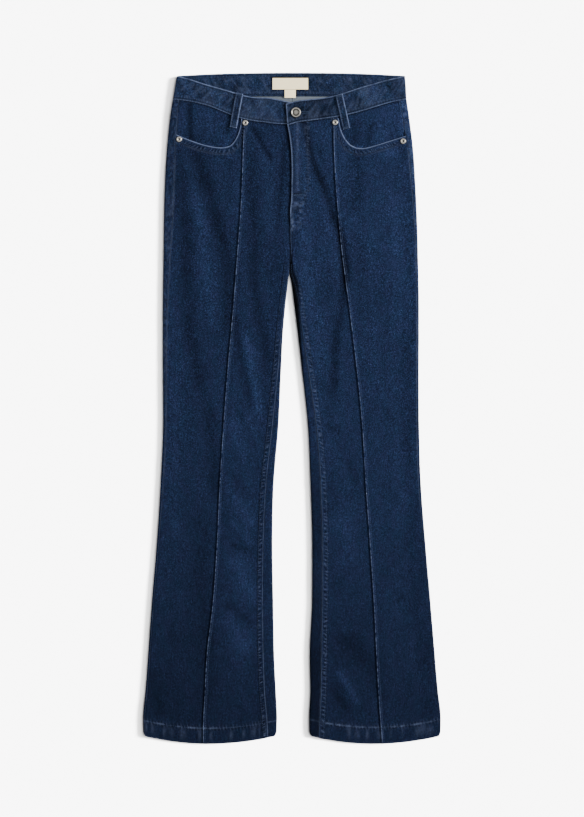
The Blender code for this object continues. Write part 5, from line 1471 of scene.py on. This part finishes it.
# ---- Zip, button and rivets ------------------------------------------------------------------

def make_zip(tape_material, metal):
    heights = np.arange(ZIP_BOTTOM, ZIP_TOP + 0.1, 2.5)[:, None]
    edge = np.array((0.0, 0.1, 0.3, 0.6, 1.2)) - ZIP_TAPE_SIDE
    offsets = np.concatenate((edge, np.linspace(-9.0, 9.0, 25), -edge[::-1]))[None, :]
    under = level("under", heights) + ZIP_TAPE_LEVEL
    x = centre("fly", heights) + ZIP_CHAIN_X + offsets
    ribs = 0.12 * np.cos(offsets * 2.6) + 0.3 * bump(np.abs(offsets), 3.4, 0.8)
    outer = grid_points(x, heights, under + ZIP_TAPE_CLOTH + ribs - 0.1)
    tape = wall("weave_zip_tape", outer, grid_points(x, heights, under), tape_material, "zip_tape_cloth",
                ("zip_tape",), every=2, wear=0.0, tone=1.0)
    lines = []
    for k, height in enumerate(np.arange(ZIP_BOTTOM + 3.0, ZIP_CHAIN_TOP, 1.1)):
        side = 1.0 if k % 2 else -1.0
        x = float(centre("fly", height)) + ZIP_CHAIN_X
        z = float(level("under", height)) + ZIP_TAPE_LEVEL + ZIP_TAPE_CLOTH + 0.55
        lines.append(((x - side * 0.9, height, z), (x + side * 2.6, height, z)))
    teeth = sewn("zip_teeth", lines, metal, step=ONE_STITCH, length=3.4, radius=0.52)
    return tape


def turned(name, profile, steps, place, material, nodes, rim_shade=0.0):
    """A turned piece about the upright axis through a place, with a dark patina in its hollows and
    painted shade round its rim.
    """
    profile = rounded(profile, 2)
    radii = np.maximum(profile[:, 0], 0.0)
    levels = profile[:, 1]
    angles = np.linspace(0.0, TURN, steps, endpoint=False)
    x = place[0] + radii[:, None] * np.cos(angles)
    height = place[1] + radii[:, None] * np.sin(angles)
    points = grid_points(x, height, place[2] + levels[:, None]).reshape(-1, 3)
    index = np.arange(len(radii) * steps).reshape(-1, steps)
    following = np.roll(index, -1, axis=1)
    quads = np.stack((index[:-1], index[1:], following[1:], following[:-1]), axis=-1).reshape(-1, 4)
    hollow = ease(levels.max() - levels, 0.2, 0.65) * (radii < RIVET_RADIUS * 1.5)
    # The rim's dark ring is painted shade; the hollows' dark is patina.
    patina = np.repeat(np.maximum(hollow, rim_shade * ease(radii / radii.max(), 0.87, 0.08)), steps)
    obj = new_object(name, points, quads.tolist(), material, "worn_metal", nodes, patina=patina)
    shape = bmesh.new()
    shape.from_mesh(obj.data)
    bmesh.ops.remove_doubles(shape, verts=shape.verts, dist=1e-6)
    bmesh.ops.recalc_face_normals(shape, faces=shape.faces)
    shape.to_mesh(obj.data)
    shape.free()


def make_metal(metal):
    turned("metal_button", BUTTON_FORM, 72, (BUTTON_X, BUTTON_HEIGHT, 0.0), metal, ("button",), 0.8)
    angles = np.linspace(0.0, TURN, 24)
    for name, (x, height) in RIVETS.items():
        around = (leg_of(x), x + RIVET_RADIUS * np.cos(angles), height + RIVET_RADIUS * np.sin(angles))
        seat = front_top(*around) if "side" in name else face_level(*around)
        place = (x, height, float(np.max(seat)) + RIVET_CLEAR)
        turned(f"metal_{name}", RIVET_FORM, 40, place, metal, (name,))


# ---- Sewing ----------------------------------------------------------------------------------

def sewn(name, lines, material, step=STITCH_STEP, length=STITCH_LENGTH, radius=THREAD):
    """A row of stitches along each line of points, or of points with their outward directions."""
    centres, ways, ups = [], [], []
    for line in lines:
        line = np.array(line, dtype=float)
        if line.shape[1] == 3:
            line = np.concatenate((line, np.tile((0.0, 0.0, 1.0), (len(line), 1))), axis=1)
        along = lengths_along(line[:, :3])
        count = max(int(along[-1] / step), 1)
        middles = (np.arange(count) + 0.5) * along[-1] / count

        def at(places):
            return np.stack([np.interp(places, along, line[:, k]) for k in range(6)], axis=1)

        way = at(middles + length / 2.0)[:, :3] - at(middles - length / 2.0)[:, :3]
        way = way / np.linalg.norm(way, axis=1)[:, None]
        middle = at(middles)
        up = middle[:, 3:] - way * (middle[:, 3:] * way).sum(axis=1)[:, None]
        centres.append(middle[:, :3])
        ways.append(way)
        ups.append(up / np.linalg.norm(up, axis=1)[:, None])
    places, way, up = (np.concatenate(parts) for parts in (centres, ways, ups))
    side = np.cross(way, up)
    sections = ((-1.0, 0.4, -0.45), (-0.72, 0.86, 0.1), (0.0, 1.0, 0.3), (0.72, 0.86, 0.1), (1.0, 0.4, -0.45))
    rings = []
    for place, size, lift in sections:
        middle = places + way * (place * length / 2.0) + up * (lift * radius)
        for angle in np.linspace(0.0, TURN, 6, endpoint=False):
            rings.append(middle + (side * math.cos(angle) + up * math.sin(angle)) * (size * radius))
    points = np.stack(rings, axis=1).reshape(-1, 3)
    index = np.arange(30).reshape(5, 6)
    following = np.roll(index, -1, axis=1)
    quads = np.stack((index[:-1], following[:-1], following[1:], index[1:]), axis=-1).reshape(-1, 4)
    starts = (np.arange(len(places)) * 30)[:, None, None]
    faces = (quads[None] + starts).reshape(-1, 4).tolist()
    caps = starts + np.stack((index[0, ::-1], index[-1]))[None]
    return new_object(name, points, faces + caps.reshape(-1, 6).tolist(), material)


def on_front(leg, x, height):
    z = face_level(leg, x, height)
    return grid_points(*shaped_for_hem(leg, x, height, 0.0), z)


def along_scoop(leg, down):
    """A line beside a scoop edge, inside the front."""
    line = beside_line(leg, resample(leg.scoop, 60), down)
    line = line[line[:, 1] < band_bottom(leg.band, line[:, 0]) - 0.5]
    return line[-leg.side * (line[:, 0] - outseam_x(leg, line[:, 1])) > 1.0]


def tack(x, height, z, way, length=7.0, width=2.6):
    """The short dense stitches of a bar tack, centred on a place and running along a direction."""
    way = np.array(way, dtype=float)
    way = way / np.linalg.norm(way)
    aside = np.array((-way[1], way[0])) * width / 2.0
    lines = []
    for along in np.arange(-length / 2.0, length / 2.0 + 0.01, 0.55):
        middle = np.array((x, height)) + way * along
        lines.append(((*(middle - aside), z), (*(middle + aside), z)))
    return lines


def leg_lines(leg):
    """Stitch rows of a front: hem, inseam, pocket, tuck and, on the left, the fly."""
    outer = float(outseam_x(leg, leg.hem_row))
    inner = float(inseam_x(leg, leg.hem_row))
    lines = [on_front(leg, outer + (inner - outer) * np.linspace(0.02, 0.98, 80), np.full(80, leg.hem_row))]
    heights = np.linspace(3.0, CROTCH - 4.0, 400)
    for gap in INSEAM_ROWS:
        lines.append(on_front(leg, inseam_x(leg, heights) + leg.side * gap, heights))
    for down in SCOOP_ROWS:
        lines.append(on_front(leg, *along_scoop(leg, down).T))
    heights = np.linspace(8.0, float(band_bottom(leg.band, leg.read("tuck", YOKE_SIDE))) - 14.0, 420)
    lines.append(on_front(leg, leg.read("tuck", heights) + TUCK_ROW, heights))
    if leg.side > 0:
        heights = np.linspace(906.0, 1052.0, 90)
        lines.append(on_front(leg, j_stitch(heights), heights))
        for gap, low, high, count in FLY_ROWS:
            heights = np.linspace(low, high, count)
            lines.append(on_front(leg, centre_edge(leg, heights) + gap, heights))
    return lines


def side_lines(leg):
    """The row beside the outseam, on the back where it wraps over the front of the hip."""
    heights = np.linspace(SIDE_ROW_START[leg.name], YOKE_SIDE - 3.0, 60)
    x = outseam_x(leg, heights) + leg.side * SIDE_ROW
    return [grid_points(x, heights, front_top(leg, x, heights))]


def band_lines():
    plain, out, _, width, along = band_grid()
    bottom = plain[:, 0]
    up = (plain[:, -1] - bottom) / width
    lines = []
    for place in (np.full(width.shape, BAND_ROW), width - BAND_ROW):
        points = bottom + up * place + out[:, 0] * band_relief(place, width, along[:, :1])
        lines.append(np.concatenate((points, out[:, 0]), axis=1))
    return lines


def inner_band_line():
    """The row that shows on the inner face of the back band."""
    xs = np.linspace(-188.0, 188.0, 160)
    low = np.interp(xs, band_column(BAND_BACK, "bottom_x"), band_column(BAND_BACK, "bottom_height"))
    return [grid_points(xs, low + INNER_BAND_ROW, BACK_BAND_LEVEL + BAND_CLOTH)]


def loop_lines(leg, ends):
    outer, _, _, _, offs = loop_grid(leg, ends)
    return [outer[2:-2, int(np.argmin(np.abs(offs[0] - offset)))] for offset in LOOP_ROWS]


def loop_tacks(leg, ends):
    outer, _, _, stops, offs = loop_grid(leg, ends)
    way = (ends[3] - ends[1], ends[0] - ends[2])
    lines = []
    for at in (2.6, stops[-1, 0] - 2.6):
        x, height, z = outer[int(np.argmin(np.abs(stops[:, 0] - at))), offs.shape[1] // 2]
        lines += tack(x, height, z + 0.1, way, LOOP_WIDTH - 2.0, 2.4)
    return lines


def buttonhole_lines():
    """Dense whip stitches round the buttonhole's slit and eye."""
    z = BUTTONHOLE_LEVEL
    lines = []
    for x in np.arange(BUTTON_X + 3.4, BUTTON_X + SLIT_LENGTH - 0.2, 0.6):
        for way in (-1.0, 1.0):
            near = BUTTON_HEIGHT + way * (SLIT_WIDTH / 2.0)
            lines.append(((x, near, z - 0.5), (x, near + way * 0.3, z), (x, near + way * 1.9, z)))
    for middle, radius, angles in (
        (BUTTON_X + SLIT_LENGTH - 0.2, 0.4, np.linspace(-1.3, 1.3, 9)),
        (BUTTON_X, EYE_RADIUS, np.linspace(0.5, TURN - 0.5, 26)),
    ):
        for angle in angles:
            way = np.array((math.cos(angle), math.sin(angle)))
            near = np.array((middle, BUTTON_HEIGHT)) + way * radius
            lines.append(((*near, z - 0.4), (*(near + way * 1.8), z)))
    return lines


def make_sewing(thread, label_thread):
    made = {}

    def sew(name, lines, material=thread, **sizes):
        made[name] = sewn(name, lines, material, **sizes)

    for leg in (right, left):
        sew(f"stitching_front_{leg.name}", leg_lines(leg))
        sew(f"stitching_side_{leg.name}", side_lines(leg))
    sew("stitching_band", band_lines() + inner_band_line())
    tacks = []
    for name, ends in FRONT_LOOPS.items():
        sew(f"stitching_{name}", loop_lines(leg_of(ends[0]), ends))
        tacks += loop_tacks(leg_of(ends[0]), ends)
    tacks += tack(*FLY_TACK, float(face_level(left, *FLY_TACK)) + 0.1, (1.0, 0.12), 15.0, 2.4)
    sew("bar_tacks", tacks, step=ONE_STITCH, length=2.5, radius=0.3)
    sew("buttonhole_thread", buttonhole_lines(), step=ONE_STITCH, length=2.1, radius=0.33)
    seat = LABEL_SEAT + LABEL_FACE
    ends = [((x, low + 0.8, seat), (x, high - 0.8, seat))
            for x0, x1, low, high in LABELS.values() for x in (x0 + 1.5, x1 - 1.5)]
    sew("stitching_labels", ends, label_thread, step=2.6, length=1.9, radius=0.26)
    return made


# ---- Materials -------------------------------------------------------------------------------

class Nodes:
    """A material under construction."""

    def __init__(self, name):
        self.material = bpy.data.materials.new(name)
        self.material.use_nodes = True
        self.tree = self.material.node_tree
        self.tree.nodes.clear()

    def add(self, kind, inputs=None, **settings):
        """A node, with its inputs linked to other nodes' outputs or given values."""
        node = self.tree.nodes.new(kind)
        for key, value in settings.items():
            setattr(node, key, value)
        for key, value in (inputs or {}).items():
            if isinstance(value, bpy.types.NodeSocket):
                self.tree.links.new(value, node.inputs[key])
            else:
                node.inputs[key].default_value = value
        return node

    def math(self, operation, a, b=0.0, clamp=False):
        return self.add("ShaderNodeMath", {0: a, 1: b}, operation=operation, use_clamp=clamp).outputs[0]

    def plus(self, a, b, clamp=False):
        return self.math("ADD", a, b, clamp)

    def by(self, a, b, clamp=False):
        return self.math("MULTIPLY", a, b, clamp)

    def place(self, scale):
        coordinates = self.add("ShaderNodeTexCoord").outputs["Object"]
        return self.add("ShaderNodeMapping", {"Vector": coordinates, "Scale": scale}).outputs[0]

    def noise(self, scale, stretch=(1.0, 1.0, 1.0), detail=3.0, roughness=0.6):
        inputs = {"Vector": self.place(stretch), "Scale": scale, "Detail": detail, "Roughness": roughness}
        return self.add("ShaderNodeTexNoise", inputs).outputs[0]

    def wave(self, scale, direction="DIAGONAL", distortion=1.0):
        inputs = {"Vector": self.place((1.0, 1.0, 1.0)), "Scale": scale, "Distortion": distortion,
                  "Detail": 1.0, "Detail Scale": 0.4}
        node = self.add("ShaderNodeTexWave", inputs, wave_type="BANDS", bands_direction=direction)
        return node.outputs["Fac"]

    def height_share(self):
        """From 0 near the hems to 1 at the waist."""
        coordinates = self.add("ShaderNodeTexCoord").outputs["Object"]
        height = self.add("ShaderNodeSeparateXYZ", {0: coordinates}).outputs[1]
        return self.add("ShaderNodeMapRange", {0: height, 1: -0.45, 2: 0.1}).outputs[0]

    def attribute(self, name):
        return self.add("ShaderNodeAttribute", attribute_name=name).outputs["Fac"]

    def ranged(self, value, low, high):
        """Takes a value from 0 to 1 on to another range."""
        return self.add("ShaderNodeMapRange", {0: value, 3: low, 4: high}, clamp=False).outputs[0]

    def mix(self, factor, a, b):
        return self.add("ShaderNodeMix", {0: factor, 6: a, 7: b}, data_type="RGBA").outputs[2]

    def times(self, colour, factor):
        return self.add("ShaderNodeVectorMath", {0: colour, "Scale": factor}, operation="SCALE").outputs[0]

    def finish(self, inputs, bump_height=None, bump_distance=0.0002, bump_strength=0.6):
        if bump_height is not None:
            relief = {"Height": bump_height, "Distance": bump_distance, "Strength": bump_strength}
            inputs = {**inputs, "Normal": self.add("ShaderNodeBump", relief).outputs[0]}
        surface = self.add("ShaderNodeBsdfPrincipled", inputs)
        self.add("ShaderNodeOutputMaterial", {"Surface": surface.outputs[0]})
        return self.material


def denim(name, colour, reverse):
    """Indigo twill: diagonal weave, uneven yarns along the legs, faded patches and pale worn places,
    with the painted light and shade that the tone attribute and the ribs carry.
    """
    n = Nodes(name)
    twill = n.wave(628.0, distortion=1.2)
    yarns = n.noise(620.0, (1.0, 0.12, 1.0), 2.0, 0.6)
    speckle = n.noise(520.0, (1.0, 0.6, 1.0), 2.0, 0.6)
    cloud = n.noise(38.0, (1.0, 0.5, 1.0), 3.0, 0.55)
    patches = n.noise(70.0, (1.0, 0.7, 1.0), 2.0, 0.5)
    shade = n.plus(n.ranged(yarns, -GRAIN, GRAIN), n.ranged(speckle, -2.0 * GRAIN, 2.0 * GRAIN))
    shade = n.by(shade, n.ranged(patches, 0.1, 1.9))
    upper = n.ranged(n.height_share(), 0.35, 1.2)
    fine = n.by(n.ranged(n.noise(640.0, (1.0, 1.0, 1.0), 0.0), -1.0, 1.0), upper)
    shade = n.math("EXPONENT", n.plus(n.by(shade, 0.9), fine))
    shade = n.by(n.by(shade, 0.985), n.ranged(cloud, 0.8, 1.2))
    shade = n.by(shade, n.ranged(twill, 0.86, 1.14))
    # The tone attribute carries painted light and shade along with the cloth's own tone.
    shade = n.by(shade, n.attribute("tone"))
    hue = n.noise(90.0, (1.0, 0.5, 1.0), 2.0, 0.5)
    cooler = (colour[0] * 0.86, colour[1] * 1.02, colour[2] * 0.97, 1.0)
    warmer = (colour[0] * 1.14, colour[1] * 0.98, colour[2] * 1.03, 1.0)
    base = n.times(n.mix(n.ranged(hue, -0.5, 1.5), cooler, warmer), shade)
    wave = n.math("SINE", n.by(n.attribute("rib"), TURN))
    broken = n.math("MAXIMUM", n.ranged(n.noise(330.0, (1.0, 0.7, 1.0), 2.0, 0.7), -2.4, 4.2), 0.0)
    ribs = n.by(n.by(wave, n.attribute("ribbed")), broken)
    # Rib crests paler, as rubbing and painted highlight; rib troughs darker, as painted shade.
    crests = n.by(n.math("MAXIMUM", ribs, 0.0), RIB_WEAR_AND_HIGHLIGHT)
    troughs = n.by(n.math("MINIMUM", ribs, 0.0), RIB_SHADE)
    base = n.times(base, n.math("MAXIMUM", n.plus(troughs, 1.0), 0.25))
    # The pale mark: rubbing, with the painted highlights of rib crests and lit loop edges.
    wear = n.by(n.plus(n.attribute("wear"), crests), n.ranged(speckle, 0.5, 1.5))
    worn_and_highlit = n.mix(n.by(wear, 1.0, clamp=True), base, (*WORN_AND_HIGHLIGHT_COLOUR, 1.0))
    back = n.mix(n.ranged(yarns, 0.0, 1.0), (*reverse, 1.0), (*(c * 0.6 for c in reverse), 1.0))
    face = n.mix(n.attribute("reverse"), worn_and_highlit, n.times(back, n.attribute("tone")))
    height = n.plus(n.by(twill, 0.6), n.by(yarns, 0.9))
    height = n.plus(height, n.by(ribs, 0.8))
    return n.finish({"Base Color": face, "Roughness": 0.9, "Specular IOR Level": 0.06}, height, 0.00022, 0.7)


def thread_material(name, colour):
    n = Nodes(name)
    ply = n.wave(900.0, distortion=0.5)
    shade = n.by(n.ranged(ply, 0.75, 1.15), n.ranged(n.noise(160.0), 0.6, 1.4))
    dye = n.add("ShaderNodeRGB").outputs[0]
    dye.default_value = (*colour, 1.0)
    return n.finish({"Base Color": n.times(dye, shade), "Roughness": 0.7, "Specular IOR Level": 0.1},
                    ply, 0.0001, 0.5)


def woven(name, colour, darker):
    """A fine plain weave, for the labels and the zip tape."""
    n = Nodes(name)
    across = n.wave(520.0, "X", 0.6)
    along = n.wave(520.0, "Y", 0.6)
    weave = n.by(across, along)
    patches = n.noise(120.0, detail=4.0)
    factor = n.plus(n.by(weave, 0.35), n.by(patches, 0.4), clamp=True)
    base = n.mix(factor, (*colour, 1.0), (*darker, 1.0))
    return n.finish({"Base Color": base, "Roughness": 0.75, "Specular IOR Level": 0.1}, weave, 0.00015, 0.5)


def metal_material(name, colour, dark):
    n = Nodes(name)
    scuffs = n.noise(700.0, (1.0, 0.35, 1.0), 4.0, 0.65)
    stains = n.noise(260.0, detail=4.0, roughness=0.6)
    # Patina in the hollows, painted shade round the button's rim, and stains, over the silver.
    age_and_shade = n.plus(n.attribute("patina"), n.ranged(stains, -0.35, 0.55), clamp=True)
    base = n.mix(age_and_shade, (*colour, 1.0), (*dark, 1.0))
    rough = n.plus(n.ranged(scuffs, 0.22, 0.5), n.by(n.attribute("patina"), 0.15))
    return n.finish({"Base Color": base, "Metallic": 0.9, "Roughness": rough}, scuffs, 0.00006, 0.4)


def floor_material():
    n = Nodes("pale_floor")
    base = n.mix(n.noise(3.0), (*FLOOR_COLOUR, 1.0), (*(c * 0.995 for c in FLOOR_COLOUR), 1.0))
    return n.finish({"Base Color": base, "Roughness": 1.0, "Specular IOR Level": 0.0})


# ---- Stage, light and camera -----------------------------------------------------------------

def make_stage(labels):
    mesh = bpy.data.meshes.new("floor")
    ways = ((-1, -1), (1, -1), (1, 1), (-1, 1))
    mesh.from_pydata([(x * FLOOR_REACH, y * FLOOR_REACH, FLOOR_LEVEL) for x, y in ways], [], [(0, 1, 2, 3)])
    mesh.materials.append(floor_material())
    floor = linked("floor", mesh)
    floor.visible_diffuse = False
    floor.visible_glossy = False
    world = bpy.data.worlds.new("studio")
    world.use_nodes = True
    background = world.node_tree.nodes["Background"]
    background.inputs["Color"].default_value = (1.0, 1.0, 1.0, 1.0)
    background.inputs["Strength"].default_value = WORLD_LIGHT
    bpy.context.scene.world = world
    groups = {"floor": [floor], "labels": labels}
    for name, (direction, strength, width, lit) in LAMPS.items():
        light = bpy.data.lights.new(name, "SUN")
        light.energy = strength
        light.angle = width
        lamp = linked(name, light)
        lamp.rotation_euler = Vector(direction).to_track_quat("Z", "Y").to_euler()
        if lit in groups:
            group = bpy.data.collections.new(f"lit_by_{name}")
            for obj in groups[lit]:
                group.objects.link(obj)
            lamp.light_linking.receiver_collection = group
    data = bpy.data.cameras.new("camera")
    data.lens = CAMERA_LENS
    data.sensor_width = 36.0
    data.clip_end = 200.0
    camera = linked("camera", data)
    camera.location = CAMERA_PLACE
    bpy.context.scene.camera = camera


right = Leg("right", -1.0, LEG_RIGHT, CREASES_RIGHT, FINE_CREASES_RIGHT, FOLDS_RIGHT, BAND_RIGHT,
            (SCOOP_START_RIGHT, SCOOP_RIGHT, SCOOP_END_RIGHT))
left = Leg("left", 1.0, LEG_LEFT, CREASES_LEFT, FINE_CREASES_LEFT, FOLDS_LEFT, BAND_LEFT,
           (SCOOP_START_LEFT, SCOOP_LEFT, SCOOP_END_LEFT))

denim_cloth = denim("denim_twill", DENIM_COLOUR, REVERSE_COLOUR)
band_cloth = denim("band_twill", BAND_COLOUR, BAND_COLOUR)
thread = thread_material("indigo_thread", THREAD_COLOUR)
cream_thread = thread_material("cream_thread", (0.62, 0.58, 0.47))
label_cloth = woven("label_weave", (0.75, 0.635, 0.39), (0.60, 0.51, 0.32))
tape_cloth = woven("zip_tape", (0.05, 0.055, 0.07), (0.025, 0.03, 0.04))
silver = metal_material("antique_silver", (0.74, 0.71, 0.65), (0.10, 0.095, 0.085))

makers = (make_back, make_yoke, make_facing, make_front)
sheets = [make(leg, denim_cloth) for leg in (right, left) for make in makers]
sheets += [make_band(band_cloth), *make_loops(band_cloth), *make_labels(label_cloth)]
sheets.append(make_zip(tape_cloth, silver))
pieces = {sheet.name: sheet for sheet in sheets}
make_metal(silver)
sewing = make_sewing(thread, cream_thread)
make_stage([pieces["weave_label_main"], pieces["weave_label_size"], sewing["stitching_labels"]])
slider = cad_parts["zip_slider"]
slider.data.materials.clear()
slider.data.materials.append(silver)

# Each sheet's cut, in metres: width, length, its area where it isn't a rectangle, what it rests on.
SHEETS = {}
for kind, cut, below in (
    ("cloth_back", (0.290, 1.075, 0.262), ()),
    ("cloth_yoke", (0.245, 0.085, 0.013), ("cloth_back",)),
    ("cloth_facing", (0.130, 0.095, 0.008), ("cloth_back",)),
    ("cloth_front", (0.245, 1.060, 0.205), ("cloth_back", "cloth_facing")),
):
    for side in ("right", "left"):
        SHEETS[f"{kind}_{side}"] = (*cut, [f"{under}_{side}" for under in below])
SHEETS["cloth_waistband"] = (0.840, 0.041, 0.0335, ("cloth_yoke_right", "cloth_yoke_left"))
for side in ("right", "left"):
    SHEETS[f"cloth_belt_loop_front_{side}"] = (0.0126, 0.060, None, ("cloth_waistband",))
for place in ("right", "centre", "left"):
    SHEETS[f"cloth_belt_loop_back_{place}"] = (0.0126, 0.056, None, ())
SHEETS["weave_label_main"] = (0.0604, 0.0194, None, ("cloth_waistband",))
SHEETS["weave_label_size"] = (0.0188, 0.0138, None, ("cloth_yoke_right",))
SHEETS["weave_zip_tape"] = (0.024, 0.145, None, ("cloth_back_left",))
WITH_PIECES = {
    "cloth_front_right": ("stitching_front_right",),
    "cloth_front_left": ("stitching_front_left",),
    "cloth_back_right": ("stitching_side_right",),
    "cloth_back_left": ("stitching_side_left",),
    "cloth_waistband": ("stitching_band", "buttonhole_thread"),
}
for name, (width, length, area, rests_on) in SHEETS.items():
    extra = {"area": area} if area else {}
    if rests_on:
        extra["rests_on"] = list(rests_on)
    if name in WITH_PIECES:
        extra["with_pieces"] = [sewing[key] for key in WITH_PIECES[name]]
